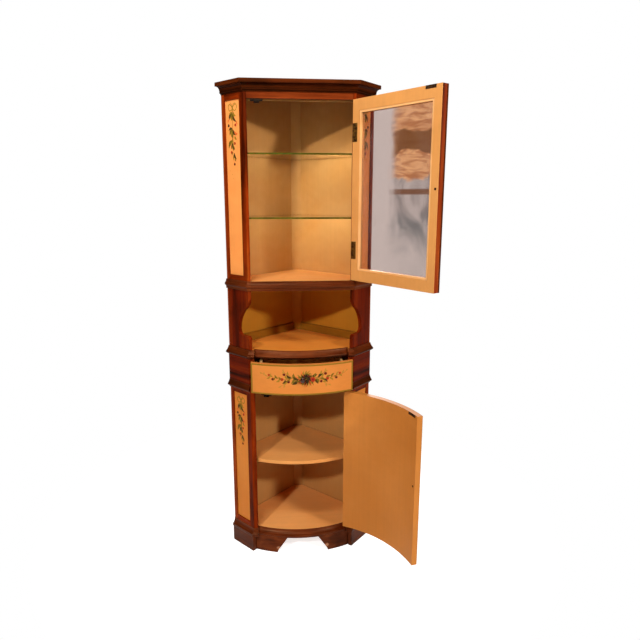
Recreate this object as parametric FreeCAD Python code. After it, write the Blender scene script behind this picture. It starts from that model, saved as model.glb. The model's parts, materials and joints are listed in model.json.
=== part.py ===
import FreeCAD, Part
import math
import os
from FreeCAD import Vector

# Painted corner cabinet: a glazed upper cupboard, an open niche with scroll-cut sides, a
# bow-fronted drawer and a bow-fronted lower cupboard on bracket feet. Millimetres, +Z up,
# the front looks along -Y. The two backs stand on room walls at 45 degrees to Y, and the
# origin is at floor level under the rear foot, on the plane of symmetry. Doors and drawer
# are drawn closed and then moved to the half-open rest pose.

# Plan of the case
half_front = 205.0      # half the width across the two front corners
half_width = 290.0      # half the width where the canted sides meet the walls
cant_depth = 94.0       # how far the canted sides run back
corner_back = 40.0      # the room corner lies this far behind the origin
post_half = 21.0        # half the width of the corner strip's flat inner face
post_thick = 8.0
back_thick = 7.0
frame_thick = 16.0      # canted frames and side boards
upper_strip = 11.5      # front edge of the canted frames beside the upper door
lower_strip = 18.0      # and beside the drawer and the lower door
lower_post_depth = 22.0

# Bow of the lower front: a circle through the front edges of its opening
bow_sagitta = 41.0
bow_recess = 16.0       # the lower door's inner face lies this far behind it
bow_play = 2.0          # between the door and the board edges behind it
seat = 0.3              # glue line between two curved faces

# Heights: the lower part is a stack, and the upper cupboard takes what is left of the total
total_height = 1880.0
crown_height = 40.0
top_thick = 14.0
frieze_height = 23.0
stop_drop = 5.0         # the strip behind the frieze reaches this much lower
stop_thick = 12.0
upper_floor_thick = 18.5
niche_height = 236.0
table_thick = 18.0      # floor of the niche
bay_height = 150.0      # clear height round the drawer
dust_thick = 14.5       # board between the drawer and the lower cupboard
lower_height = 596.5    # clear height of the lower cupboard
floor_rise = 26.0       # its floor above the plinth
floor_thick = 16.0
plinth_height = 75.0
lower_shelf_share = .52     # shelves as shares of their cupboard's clear height
glass_shelf_shares = (.355, .709)
lower_shelf_thick = 14.0
glass_shelf_thick = 6.0
glass_setback = 10.0

# Canted side frames
front_stile_width = 25.0
rear_stile_width = 18.0
panel_thick = 7.0
panel_recess = 5.0
upper_rail_low = 37.5
upper_rail_high = 48.0
lower_rail_low = 46.0
lower_rail_high = 10.5
bay_proud = 4.0         # the boards beside the drawer stand out this much

# Mouldings: projection and height
crown_out = 29.0
waist_out = 13.0
waist_bow = 8.0
table_out = 19.0
table_height = 34.0
table_front_out = 19.0
sill_out = 15.0
sill_height = 33.0
sill_drop = 7.0         # the sill moulding covers the joint by this much
base_out = 13.0
base_drop = 10.0        # the base moulding covers the plinth by this much
base_front_out = 20.0
base_front_drop = 3.0
base_return_share = 0.85    # projection of its return on the front strip

# Plinth and feet
plinth_out = 10.0
plinth_lead = 4.5       # the square front ends of the side boards stand this far ahead
plinth_thick = 18.0
arch_bridge = 5.0       # board left over the arch
arch_half_low = 106.0
arch_half_high = 65.0
foot_half = 56.0
foot_depth = 22.0

# Niche
skirting_height = 34.0
skirting_thick = 8.0

# Upper door
door_inset = 1.0        # the door's edges lie this far inside the front corners
door_play = 1.5         # between the door and the case
door_lift = 3.5         # from the cupboard's floor to the door
door_thick = 22.0
hinge_stile = 42.0
free_stile = 38.0
door_rail = 48.0
rebate_width = 7.0
rebate_depth = 13.0     # from the inner face to the pane's seat
pane_thick = 3.0
pane_play = 1.0
bead_width = 7.0
bead_depth = 8.0
edge_mould_width = 24.0
edge_mould_thick = 9.0
upper_open = 124.2      # degrees open at rest

# Upper hinges, let into a notch in the edge of the hinge stile
upper_hinge_share = .125    # from the door's ends, as a share of its height
upper_hinge_height = 66.0
pin_in = 3.0            # pin centre inside the door's edge
pin_deep = 9.4          # pin centre behind the inner face
knuckle_radius = 3.5
pin_radius = 1.8
pin_play = 0.1
knuckle_play = 0.4
notch_width = 7.5
notch_depth = 15.0
leaf_thick = 2.0
leaf_width = 17.0
case_leaf_width = 10.0
web_thick = 1.8

# Lower door and its hinges
lower_door_lap = 6.0    # the door covers the board above by this much
lower_play = 1.5
lower_door_thick = 22.0
lower_open = 128.0      # degrees open at rest
lower_pin_proud = 4.2
lower_knuckle = 3.0
lower_leaf_depth = 12.0
lower_hinge_share = .115
lower_hinge_height = 60.0

# Drawer
drawer_pull = 25.0      # how far it stands open at rest
drawer_front_inset = 5.0    # its ends lie this far inside the front corners
drawer_front_play = 1.0
drawer_front_thick = 18.0
drawer_front_lift = 7.5     # from the board under the drawer
drawer_front_drop = 4.0     # from the moulding over it
drawer_side_gap = 22.0      # from the front strips to the box
drawer_board = 10.0
drawer_side_play = 0.3
drawer_side_drop = 8.0      # the box is this much lower than its front
drawer_bottom_rise = 8.0
drawer_bottom_thick = 6.0
drawer_rear_gap = 4.0
guide_play = 1.5
guide_width = 10.0
guide_height = 12.0
guide_front = 30.0
guide_rear_gap = 7.5

# Fittings
knob_radius = 11.5      # drawer
knob_reach = 22.0
button_radius = 6.0     # low buttons of the doors
button_reach = 5.0
screw_radius = 4.0
screw_proud = 1.5
upper_knob_share = .515     # heights of the knobs on the doors and the drawer
lower_knob_share = .537
drawer_knob_share = .535
upper_knob_inset = 11.5     # from the doors' free edges
lower_knob_inset = 12.0
catch_length = 44.0
catch_height = 8.0
catch_depth = 13.0
catch_back = 3.0
catch_magnet_half = 10.0
catch_magnet_height = 6.5
upper_catch_inset = 35.5    # from the front strip to the middle of the catch
lower_catch_inset = 43.0
strike_length = 44.0
strike_height = 11.0
strike_thick = 1.0
peg_radius = 3.0
peg_reach = 10.0
peg_back = 70.0         # rear pegs lie this far in from the side frames
cleat_size = 14.0
shelf_play = 1.5
overrun = 50.0          # how far cutting shapes pass the work

# Outlines as shares of projection and height: two numbers are a corner, and four are the
# middle and the end of an arc.
crown_shares = [(0, 0), (.10, 0), (.10, .10), (.27, .18, .18, .28), (.26, .28),
                (.42, .56, .86, .66), (1, .66), (1, 1), (0, 1)]
waist_shares = [(0, 0), (.45, 0), (.45, .12), (.60, .32, .95, .38), (1, .50, .92, .62),
                (.58, .74, .42, .94), (.42, 1), (0, 1)]
table_shares = [(0, 0), (.36, 0), (.86, .18), (1, .30, .88, .44), (.48, .66, .20, .94),
                (.20, 1), (0, 1)]
sill_shares = [(0, 0), (.30, 0), (.36, .10), (.80, .24), (1, .36, .90, .48),
               (.55, .72, .32, .95), (.32, 1), (0, 1)]
base_shares = [(0, 0), (.84, 0), (1, .12), (1, .36), (.40, .58, .12, .92), (.12, 1),
               (0, 1)]
skirting_shares = [(0, 0), (1, 0), (1, .80), (.86, .92, .45, .94), (.45, 1), (0, 1)]
knob_shares = [(0, 0), (.52, 0), (.40, .34), (.94, .48), (1, .66, .86, .84), (.48, 1), (0, 1)]
edge_mould_shares = [(0, 0), (0, .78), (.02, .94, .08, 1), (.78, 1), (.92, .86, 1, .44),
                     (1, 0)]
pole_share = 0.25

# Scroll of the niche sides as shares of the cant's length and the niche's height
scroll_shares = [(-.08, .932), (0, .805, .142, .699), (.410, .521, .489, .360),
                 (.474, .275, .395, .229), (.079, .229), (0, .191, -.08, .102)]

# Arch of the plinth as shares of its flank's width and rise
arch_shares = [(0, 0), (0, .04), (.04, .12, .10, .18), (1, 1)]

# Derived plan values
root2 = math.sqrt(2)
front_y = corner_back - half_width - cant_depth
cant_length = math.hypot(half_width - half_front, cant_depth)
along_x, along_y = (half_width - half_front) / cant_length, cant_depth / cant_length
upper_strip_x = half_front - upper_strip
lower_strip_x = half_front - lower_strip
bow_outer = (lower_strip_x ** 2 + bow_sagitta ** 2) / (2 * bow_sagitta)
bow_inner = bow_outer - bow_recess
lower_door_outer = bow_inner + lower_door_thick
bow_edge = bow_inner - bow_play         # front edges of the boards behind the door
bow_axis_y = front_y - bow_sagitta + bow_outer
inner_corner_y = corner_back - back_thick * root2
post_y = inner_corner_y - post_half
strip_edge = (post_half + back_thick / root2, post_y + back_thick / root2)
strip_outer = (corner_back - post_y - post_thick, post_y + post_thick)

# Derived heights
floor_z = plinth_height + floor_rise
dust_base = floor_z + lower_height
dust_top_z = dust_base + dust_thick
table_base = dust_top_z + bay_height
table_z = table_base + table_thick
waist_base = table_z + niche_height
upper_base = waist_base + upper_floor_thick
upper_floor_z = upper_base + upper_floor_thick
case_top = total_height - top_thick
crown_z = total_height - crown_height
frieze_z = crown_z - frieze_height
lower_shelf_z = floor_z + lower_shelf_share * lower_height
glass_shelf_zs = [upper_floor_z + share * (frieze_z - upper_floor_z)
                  for share in glass_shelf_shares]
upper_panel_low, upper_panel_high = upper_base + upper_rail_low, case_top - upper_rail_high
lower_panel_low, lower_panel_high = plinth_height + lower_rail_low, dust_base - lower_rail_high
arch_rise = plinth_height - arch_bridge

# Derived places of the doors, the drawer and the catches
door_half = half_front - door_inset
door_low_z, door_top_z = upper_floor_z + door_lift, frieze_z - door_play
lower_door_low_z, lower_door_top_z = floor_z + lower_play, dust_base + lower_door_lap
upper_hinge_ends = upper_hinge_share * (door_top_z - door_low_z)
upper_hinge_zs = (door_low_z + upper_hinge_ends,
                  door_top_z - upper_hinge_ends - upper_hinge_height)
lower_hinge_ends = lower_hinge_share * (lower_door_top_z - lower_door_low_z)
lower_hinge_zs = (lower_door_low_z + lower_hinge_ends,
                  lower_door_top_z - lower_hinge_ends - lower_hinge_height)
drawer_half = lower_strip_x - drawer_side_gap
drawer_rear_y = inner_corner_y - drawer_half - drawer_rear_gap
drawer_front_half = half_front - drawer_front_inset
drawer_front_low_z = dust_top_z + drawer_front_lift
drawer_front_top_z = table_z - table_height - drawer_front_drop
drawer_side_top_z = drawer_front_top_z - drawer_side_drop
upper_knob_z = door_low_z + upper_knob_share * (door_top_z - door_low_z)
lower_knob_z = lower_door_low_z + lower_knob_share * (lower_door_top_z - lower_door_low_z)
drawer_knob_z = (drawer_front_low_z
                 + drawer_knob_share * (drawer_front_top_z - drawer_front_low_z))
upper_catch_x = upper_strip_x - upper_catch_inset
lower_catch_turn = math.degrees(math.asin((lower_strip_x - lower_catch_inset) / bow_edge))
drawer_inner = bow_outer
drawer_outer = drawer_inner + drawer_front_thick
drawer_axis_y = (front_y - drawer_front_play
                 + math.sqrt(drawer_inner ** 2 - drawer_front_half ** 2))
door_inner_y = front_y - door_play
door_face_y = door_inner_y - door_thick
upper_pin_x = door_half - pin_in
upper_pin_y = door_inner_y - pin_deep
lower_pin_x = lower_strip_x - lower_play / 2
lower_pin_y = front_y - lower_pin_proud

up = Vector(0, 0, 1)
middle = Vector(0, 0, 0)


def point(xy, z=0):
    return Vector(xy[0], xy[1], z)


def cant(s, out=0):
    """Plan point on the right side: s along the canted face, out in front of it."""
    return (half_front + along_x * s + along_y * out, front_y + along_y * s - along_x * out)


def front_corner(out, front_out=None):
    """Where the canted line at out meets the front line at front_out."""
    front_out = out if front_out is None else front_out
    return cant((along_x * out - front_out) / along_y, out)


def wall_end(out, inset=0):
    """Where the canted line at out meets the wall line moved in by inset."""
    reach = corner_back - inset * root2 - half_front - front_y - (along_y - along_x) * out
    return cant(reach / (along_x + along_y), out)


def back_y(x, inset):
    """Where the plane at this inset from the room wall passes x."""
    return corner_back - inset * root2 - x


def cant_at_x(x, out):
    """The point of the canted line at out that has this x."""
    return cant((x - half_front - along_y * out) / along_x, out)


def bow_y(x, radius):
    return bow_axis_y - math.sqrt(radius ** 2 - x ** 2)


def outline_edges(start, steps, place):
    """Edges through the steps: a pair ends a line, and four numbers an arc."""
    edges, here = [], place(*start)
    for step in steps:
        there = place(*step[-2:])
        if len(step) > 2:
            edges.append(Part.Arc(here, place(*step[:2]), there).toShape())
        else:
            edges.append(Part.LineSegment(here, there).toShape())
        here = there
    return edges


def prism(points, low, high):
    corners = [point(p, low) for p in points]
    return Part.Face(Part.makePolygon(corners + corners[:1])).extrude(up * (high - low))


def mirrored(shape):
    return shape.mirror(middle, Vector(1, 0, 0))


def pair(shape):
    return [shape, mirrored(shape)]


def bow_front(points, radius, low, high):
    """A slab whose open side, from the last point back to the first, is the bow."""
    first, last = points[0], points[-1]
    edges = [Part.LineSegment(point(a, low), point(b, low)).toShape()
             for a, b in zip(points, points[1:])]
    crest = Vector(0, bow_axis_y - radius, low)
    edges.append(Part.Arc(point(last, low), crest, point(first, low)).toShape())
    return Part.Face(Part.Wire(edges)).extrude(up * (high - low))


def bow_band(inner, outer, half, low, high, axis_y=bow_axis_y, free_share=None):
    """A curved board between two circles about one axis. Its ends are square across, but
    with free_share the left one points to the axis, at this share of the radii."""
    def place(x, radius):
        return Vector(x, axis_y - math.sqrt(radius ** 2 - x ** 2), low)
    inner_left, outer_left = (half, half) if free_share is None else (
        free_share * inner, free_share * outer)
    edges = [Part.Arc(place(-outer_left, outer), place(0, outer), place(half, outer)).toShape(),
             Part.LineSegment(place(half, outer), place(half, inner)).toShape(),
             Part.Arc(place(half, inner), place(0, inner), place(-inner_left, inner)).toShape(),
             Part.LineSegment(place(-inner_left, inner), place(-outer_left, outer)).toShape()]
    return Part.Face(Part.Wire(edges)).extrude(up * (high - low))


def whole(right):
    """A plan outline from its right half, listed from the front to the back."""
    return right + [(-x, y) for x, y in reversed(right)]


def section(shares, out, height, origin, outward):
    """A moulding's section as a face: out along outward from origin, up along Z."""
    def place(o, h):
        return origin + outward * (o * out) + up * (h * height)
    return Part.Face(Part.Wire(outline_edges(shares[0], shares[1:] + shares[:1], place)))


def side_moulding(shares, out, height, low, return_x=None, return_share=1):
    """A moulding along the right side, mitred at the front corner; with return_x it is
    brought round the corner as far as that x, at a share of its projection."""
    start = cant(-overrun)
    bar = section(shares, out, height, point(start, low), point((along_y, -along_x)))
    bar = bar.extrude(point(cant(cant_length + overrun)) - point(start))
    mitre_in, mitre_out = front_corner(0), front_corner(overrun, overrun * return_share)
    piece = bar.common(prism([mitre_in, mitre_out, wall_end(overrun), wall_end(0)],
                             low, low + height))
    if return_x is None:
        return piece
    start = Vector(half_front + overrun, front_y, low)
    bar = section(shares, out * return_share, height, start, Vector(0, -1, 0))
    bar = bar.extrude(Vector(return_x - start.x, 0, 0))
    zone = [mitre_in, mitre_out, (return_x, front_y - overrun), (return_x, front_y)]
    return piece.fuse(bar.common(prism(zone, low, low + height))).removeSplitter()


def bow_moulding(shares, out, height, low, radius, half, axis_y=bow_axis_y):
    """A moulding along a bow: its section turned about the bow's axis and cut to length."""
    sweep = math.degrees(math.asin(half / radius)) + math.degrees(overrun / radius)
    face = section(shares, out, height, Vector(0, axis_y - radius, low), Vector(0, -1, 0))
    axis = Vector(0, axis_y, 0)
    face.rotate(axis, up, -sweep)
    reach = radius + out + overrun
    zone = Part.makeBox(half + half, reach, height + overrun, Vector(-half, axis_y - reach, low))
    return face.revolve(axis, up, sweep + sweep).common(zone)


def turned(shares, radius, reach, centre, axis):
    """A turned piece standing on centre along axis."""
    side = axis.cross(up)
    face = Part.Face(Part.Wire(outline_edges(
        shares[0], shares[1:] + shares[:1],
        lambda r, h: centre + side * (r * radius) + axis * (h * reach))))
    return face.revolve(centre, axis, 360)


def board(x0, x1, y0, y1, z0, z1):
    return Part.makeBox(x1 - x0, y1 - y0, z1 - z0, Vector(x0, y0, z0))


def largest(shape):
    """The main solid, without the slivers that a cut can leave."""
    return max(shape.Solids, key=lambda solid: solid.Volume)


def opened_upper(shape):
    shape.rotate(Vector(upper_pin_x, upper_pin_y, 0), up, upper_open)
    return shape


def opened_lower(shape):
    shape.rotate(Vector(lower_pin_x, lower_pin_y, 0), up, lower_open)
    return shape


def pulled(shape):
    shape.translate(Vector(0, -drawer_pull, 0))
    return shape


# Crown, top and frieze

def crown_front():
    start = Vector(-half_front - overrun, front_y, crown_z)
    bar = section(crown_shares, crown_out, crown_height, start, Vector(0, -1, 0)).extrude(
        Vector(half_front + overrun - start.x, 0, 0))
    return bar.common(prism(whole([front_corner(overrun), front_corner(0)]),
                            crown_z, total_height))


def crown_sides():
    return pair(side_moulding(crown_shares, crown_out, crown_height, crown_z))


def top_board():
    return prism(whole([front_corner(0), wall_end(0), strip_outer]), case_top, total_height)


def frieze_rail():
    return board(-upper_strip_x, upper_strip_x, front_y, front_y + frame_thick,
                 frieze_z, case_top)


def frieze_stop():
    """A strip behind the frieze; its lower edge shows in the open cupboard."""
    low, y = frieze_z - stop_drop, front_y + frame_thick
    between = prism(whole([cant(0, -frame_thick), cant(cant_length, -frame_thick)]),
                    low, case_top)
    return between.common(board(-half_front, half_front, y, y + stop_thick, low, case_top))


# Canted side frames

def upper_front_stiles():
    """The right stile has pockets for the plates of the door's hinges."""
    stile = prism([front_corner(0), cant(front_stile_width),
                   cant(front_stile_width, -frame_thick),
                   cant_at_x(upper_strip_x, -frame_thick), (upper_strip_x, front_y)],
                  upper_base, case_top)
    left = mirrored(stile)
    for low in upper_hinge_zs:
        stile = stile.cut(upper_case_plate(low))
    return [stile, left]


def lower_front_stiles():
    """Corner posts of the lower case; the right one is let in for the hinge plates."""
    stile = prism([front_corner(0), cant(front_stile_width),
                   cant(front_stile_width, -frame_thick),
                   (lower_strip_x, front_y + lower_post_depth), (lower_strip_x, front_y)],
                  plinth_height, dust_base)
    left = mirrored(stile)
    for low in lower_hinge_zs:
        stile = stile.cut(lower_case_plate(low))
    return [stile, left]


def rear_stiles(low, high):
    start = cant_length - rear_stile_width
    return pair(prism([cant(start), wall_end(0, back_thick), wall_end(-frame_thick, back_thick),
                       cant(start, -frame_thick)], low, high))


def side_bar(outer, inner, low, high):
    first, last = front_stile_width, cant_length - rear_stile_width
    return pair(prism([cant(first, outer), cant(last, outer), cant(last, inner),
                       cant(first, inner)], low, high))


def side_rails(low, panel_low, panel_high, high):
    return (side_bar(0, -frame_thick, low, panel_low)
            + side_bar(0, -frame_thick, panel_high, high))


def side_panels(low, high):
    return side_bar(-panel_recess, -panel_recess - panel_thick, low, high)


# Backs and corner strip

def back_panel():
    return prism([wall_end(0), wall_end(0, back_thick), (post_half, post_y), strip_edge],
                 plinth_height, case_top)


def corner_strip():
    return prism(whole([(post_half, post_y), strip_edge, strip_outer]),
                 plinth_height, case_top)


# Upper cupboard

def upper_floor():
    """The floor between the side frames, and the full board under it over the niche."""
    upper = prism(whole([(upper_strip_x, front_y), cant_at_x(upper_strip_x, -frame_thick),
                         wall_end(-frame_thick, back_thick), (post_half, post_y)]),
                  upper_base, upper_floor_z)
    lower = prism(whole([front_corner(0), wall_end(0, back_thick), (post_half, post_y)]),
                  waist_base, upper_base)
    return [upper, lower]


def glass_shelves():
    inset = back_thick + shelf_play
    side = -frame_thick - shelf_play
    plan = whole([front_corner(side, -glass_setback), wall_end(side, inset),
                  (post_half, back_y(post_half, inset))])
    return [prism(plan, z, z + glass_shelf_thick) for z in glass_shelf_zs]


def shelf_pegs():
    """Four pegs under each glass shelf: two in the front stiles and two in the backs."""
    rear = wall_end(-frame_thick, back_thick)
    rear = (rear[0] - peg_back / root2, rear[1] + peg_back / root2)
    front = cant(front_stile_width - peg_radius - peg_radius, -frame_thick)
    pegs = []
    for z in glass_shelf_zs:
        for start, way in ((front, Vector(-along_y, along_x, 0)), (rear, Vector(-1, -1, 0))):
            pegs += pair(Part.makeCylinder(peg_radius, peg_reach,
                                           point(start, z - peg_radius), way))
    return pegs


# Magnetic catches and their strike plates

def catch(y):
    """A catch hanging down from z = 0, its face at y: a bar that takes the screws, and the
    magnet under its middle between two steel poles."""
    half, magnet, rear = catch_length / 2, catch_magnet_half, y + catch_depth
    low = -catch_height - catch_magnet_height
    pole = catch_magnet_height * pole_share
    body = board(-half, half, y, rear, -catch_height, 0)
    body = body.fuse(board(-magnet, magnet, y, rear, low, -catch_height))
    for z in (low, -catch_height - pole):
        body = body.fuse(board(-magnet, magnet, y - strike_thick, y, z, z + pole))
    return body


def upper_catch():
    piece = catch(front_y + catch_back)
    piece.translate(Vector(-upper_catch_x, 0, frieze_z))
    return piece


def lower_catch():
    piece = catch(bow_axis_y - bow_edge + catch_back)
    piece.translate(Vector(0, 0, dust_base))
    piece.rotate(Vector(0, bow_axis_y, 0), up, -lower_catch_turn)
    return piece


# Mouldings round the case

def waist_moulding_front():
    """The slightly bowed run under the upper door, with a straight back."""
    radius = (upper_strip_x ** 2 + waist_bow ** 2) / (waist_bow + waist_bow)
    axis_y = front_y - waist_bow + radius
    height = upper_floor_z - waist_base
    moulding = bow_moulding(waist_shares, waist_out, height, waist_base, radius,
                            upper_strip_x, axis_y)
    disc = Part.makeCylinder(radius, height, Vector(0, axis_y, waist_base))
    backing = disc.common(board(-upper_strip_x, upper_strip_x, front_y - overrun, front_y,
                                waist_base, upper_floor_z))
    return moulding.fuse(backing).removeSplitter()


def waist_moulding_sides():
    return pair(side_moulding(waist_shares, waist_out, upper_floor_z - waist_base, waist_base,
                              upper_strip_x))


def table_moulding_front():
    return bow_moulding(table_shares, table_front_out, table_height, table_z - table_height,
                        bow_edge, lower_strip_x)


def table_moulding_sides():
    piece = side_moulding(table_shares, table_out, table_height, table_z - table_height,
                          lower_strip_x)
    return pair(largest(piece.cut(bay_side())))


def sill_moulding_sides():
    piece = side_moulding(sill_shares, sill_out, sill_height, dust_top_z - sill_drop)
    return pair(largest(piece.cut(bay_side())))


def base_moulding_front():
    """The bowed run between the returns, rebated over the front board's top edge."""
    low = plinth_height - base_front_drop
    piece = bow_moulding(base_shares, base_front_out, floor_z - low, low, bow_edge,
                         lower_strip_x)
    return piece.cut(bow_band(bow_outer - plinth_thick - seat, bow_outer + seat,
                              lower_strip_x, low, plinth_height))


def base_moulding_sides():
    low = plinth_height - base_drop
    piece = side_moulding(base_shares, base_out, floor_z - low, low, lower_strip_x,
                          base_return_share)
    return pair(piece.cut(base_side()).cut(base_front_board()))


# Niche

def niche_side():
    """Canted board with a scroll cut in its front edge, standing on the table."""
    def place(s, h):
        return point(cant(s * cant_length), table_z + h * niche_height)
    front = scroll_shares[0][0]
    edges = outline_edges((front, 1), scroll_shares + [(front, 0)], place)
    end = cant(cant_length + overrun)
    rear = [place(front, 0), point(end, table_z), point(end, waist_base), place(front, 1)]
    edges += [Part.LineSegment(a, b).toShape() for a, b in zip(rear, rear[1:])]
    cut = Part.Face(Part.Wire(edges)).extrude(Vector(-along_y, along_x, 0) * frame_thick)
    plan = [(upper_strip_x, front_y), front_corner(0), wall_end(0, back_thick),
            wall_end(-frame_thick, back_thick), cant_at_x(upper_strip_x, -frame_thick)]
    return cut.common(prism(plan, table_z, waist_base))


def niche_skirting():
    """Strips with a moulded top along both backs, from the side boards to the corner strip."""
    inner = back_thick + skirting_thick
    zone = prism([wall_end(-frame_thick, back_thick), (post_half, post_y),
                  (corner_back - inner * root2 - post_y, post_y),
                  wall_end(-frame_thick, inner)], table_z, table_z + skirting_height)
    start = wall_end(overrun, back_thick)
    bar = section(skirting_shares, skirting_thick, skirting_height, point(start, table_z),
                  Vector(-1, -1, 0).normalize())
    return pair(bar.extrude(point((post_half, post_y)) - point(start)).common(zone))


def case_floor(low, high):
    """A board across the whole case with a bowed edge between the two front strips."""
    return bow_front(whole([(lower_strip_x, bow_y(lower_strip_x, bow_edge)),
                            (lower_strip_x, front_y), front_corner(0),
                            wall_end(0, back_thick), (post_half, post_y)]),
                     bow_edge, low, high)


# Drawer bay

def bay_side():
    return prism([(lower_strip_x, front_y), front_corner(bay_proud, 0), wall_end(bay_proud),
                  wall_end(0), wall_end(0, back_thick), wall_end(-frame_thick, back_thick),
                  cant_at_x(lower_strip_x, -frame_thick)], dust_top_z, table_base)


def drawer_runners():
    start = drawer_half + guide_play
    end = start + guide_width
    return pair(board(start, end, front_y + guide_front, back_y(end, back_thick) - guide_rear_gap,
                      dust_top_z, dust_top_z + guide_height))


# Lower cupboard

def inner_board(play, low, high):
    """A board between the posts and side frames with the bowed front edge."""
    x = lower_strip_x - play
    return bow_front(whole([(x, bow_y(x, bow_edge)), (x, front_y + lower_post_depth + play),
                            cant(front_stile_width + play, -frame_thick - play),
                            wall_end(-frame_thick - play, back_thick + play),
                            (post_half, back_y(post_half, back_thick + play))]),
                     bow_edge, low, high)


def shelf_cleats():
    """Strips under the lower shelf, along both side frames and both backs."""
    low = lower_shelf_z - lower_shelf_thick - cleat_size
    high = low + cleat_size
    last = cant_length - rear_stile_width
    first = front_stile_width + shelf_play
    side = prism([cant(first, -frame_thick), cant(last, -frame_thick),
                  cant(last, -frame_thick - cleat_size),
                  cant(first, -frame_thick - cleat_size)], low, high)
    inner = back_thick + cleat_size
    corner = wall_end(-frame_thick, back_thick)
    end = (corner[0] - overrun / root2, corner[1] + overrun / root2)
    inward = (end[0] - cleat_size / root2, end[1] - cleat_size / root2)
    back = prism([end, (post_half, post_y),
                  (corner_back - inner * root2 - post_y, post_y), inward], low, high)
    return pair(side) + pair(back)


# Plinth and feet

def base_front_board():
    """The bowed apron and feet, trimmed to meet the inner faces of the side boards."""
    inner = plinth_out - plinth_thick
    band = bow_band(bow_outer - plinth_thick, bow_outer, half_front, 0, plinth_height)
    band = band.common(prism(whole([cant(-overrun - overrun, inner), cant(overrun, inner)]),
                             0, plinth_height))
    flank = arch_half_low - arch_half_high

    def place(side):
        return lambda w, h: Vector(side * (arch_half_low - w * flank),
                                   front_y - overrun - overrun, h * arch_rise)
    right = outline_edges(arch_shares[0], arch_shares[1:], place(1))
    left = outline_edges(arch_shares[0], arch_shares[1:], place(-1))
    low = [place(-1)(*arch_shares[0]), place(1)(*arch_shares[0])]
    top = [place(1)(*arch_shares[-1][-2:]), place(-1)(*arch_shares[-1][-2:])]
    lines = [Part.LineSegment(*low).toShape(), Part.LineSegment(*top).toShape()]
    wire = Part.Wire(Part.__sortEdges__(lines + right + left))
    return band.cut(Part.Face(wire).extrude(Vector(0, bow_outer, 0)))


def base_side():
    """A canted plinth board with a square front end."""
    inner = plinth_out - plinth_thick
    return prism([cant(-plinth_lead, inner), cant(-plinth_lead, plinth_out),
                  wall_end(plinth_out), wall_end(inner)], 0, plinth_height)


def rear_foot():
    tip = (foot_half, corner_back - foot_half)
    chamfer = foot_depth / root2
    return prism(whole([(tip[0] - chamfer, tip[1] - chamfer), tip, strip_outer]),
                 0, plinth_height)


# Upper door, drawn closed

pane_left, pane_right = free_stile - door_half, door_half - hinge_stile
pane_low, pane_high = door_low_z + door_rail, door_top_z - door_rail
seat_y = door_inner_y - rebate_depth


def rebate():
    return board(pane_left - rebate_width, pane_right + rebate_width, seat_y, door_inner_y,
                 pane_low - rebate_width, pane_high + rebate_width)


def upper_door_stiles():
    """The hinge stile has a notch in its edge for each hinge and a pocket for its plate."""
    hinge = board(pane_right, door_half, door_face_y, door_inner_y, door_low_z, door_top_z)
    free = board(-door_half, pane_left, door_face_y, door_inner_y, door_low_z, door_top_z)
    for low in upper_hinge_zs:
        hinge = hinge.cut(board(door_half - notch_width, door_half + overrun,
                                door_inner_y - notch_depth, door_inner_y,
                                low, low + upper_hinge_height))
        hinge = hinge.cut(upper_door_plate(low))
    return [opened_upper(piece.cut(rebate())) for piece in (hinge, free)]


def upper_door_rails():
    rails = [board(pane_left, pane_right, door_face_y, door_inner_y, *zs)
             for zs in ((door_low_z, pane_low), (pane_high, door_top_z))]
    return [opened_upper(rail.cut(rebate())) for rail in rails]


def upper_door_glass():
    edge = rebate_width - pane_play
    return opened_upper(board(pane_left - edge, pane_right + edge, seat_y,
                              seat_y + pane_thick, pane_low - edge, pane_high + edge))


def upper_door_beads():
    low, high = seat_y + pane_thick, seat_y + pane_thick + bead_depth
    bottom, top = pane_low - rebate_width, pane_high + rebate_width
    left, right = pane_left - rebate_width, pane_right + rebate_width
    beads = [board(left, left + bead_width, low, high, bottom, top),
             board(right - bead_width, right, low, high, bottom, top),
             board(left + bead_width, right - bead_width, low, high, bottom,
                   bottom + bead_width),
             board(left + bead_width, right - bead_width, low, high, top - bead_width, top)]
    return [opened_upper(bead) for bead in beads]


def edge_bar(start, run, inward):
    """One side of the moulding round the door's face, with mitred ends."""
    def place(w, t):
        return (start - run * overrun + inward * (w * edge_mould_width)
                + Vector(0, -t * edge_mould_thick, 0))
    face = Part.Face(Part.Wire(outline_edges(
        edge_mould_shares[0], edge_mould_shares[1:] + edge_mould_shares[:1], place)))
    return face


def upper_door_moulding():
    corners = [Vector(-door_half, door_face_y, door_low_z),
               Vector(door_half, door_face_y, door_low_z),
               Vector(door_half, door_face_y, door_top_z),
               Vector(-door_half, door_face_y, door_top_z)]
    heart = Vector(0, door_face_y, upper_knob_z)
    bars = []
    for a, b in zip(corners, corners[1:] + corners[:1]):
        run = (b - a).normalize()
        inward = Vector(0, 1, 0).cross(run) * -1
        if inward.dot(heart - a) < 0:
            inward = inward * -1
        bar = edge_bar(a, run, inward).extrude((b - a) + run * (overrun + overrun))
        inner = inward * edge_mould_width
        zone = [a, b, b + inner - run * edge_mould_width, a + inner + run * edge_mould_width]
        mitres = Part.Face(Part.makePolygon(zone + zone[:1]))
        bars.append(bar.common(mitres.extrude(Vector(0, -edge_mould_thick, 0))))
    return [opened_upper(bar) for bar in bars]


def upper_door_knob():
    """A low button on the flat of the moulding; its screw shows on the inner face."""
    x = upper_knob_inset - door_half
    forward, inward = Vector(0, -1, 0), Vector(0, 1, 0)
    knob = turned(knob_shares, button_radius, button_reach,
                  Vector(x, door_face_y - edge_mould_thick, upper_knob_z), forward)
    screw = Part.makeCylinder(screw_radius, screw_proud,
                              Vector(x, door_inner_y, upper_knob_z), inward)
    return [opened_upper(knob), opened_upper(screw)]


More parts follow.
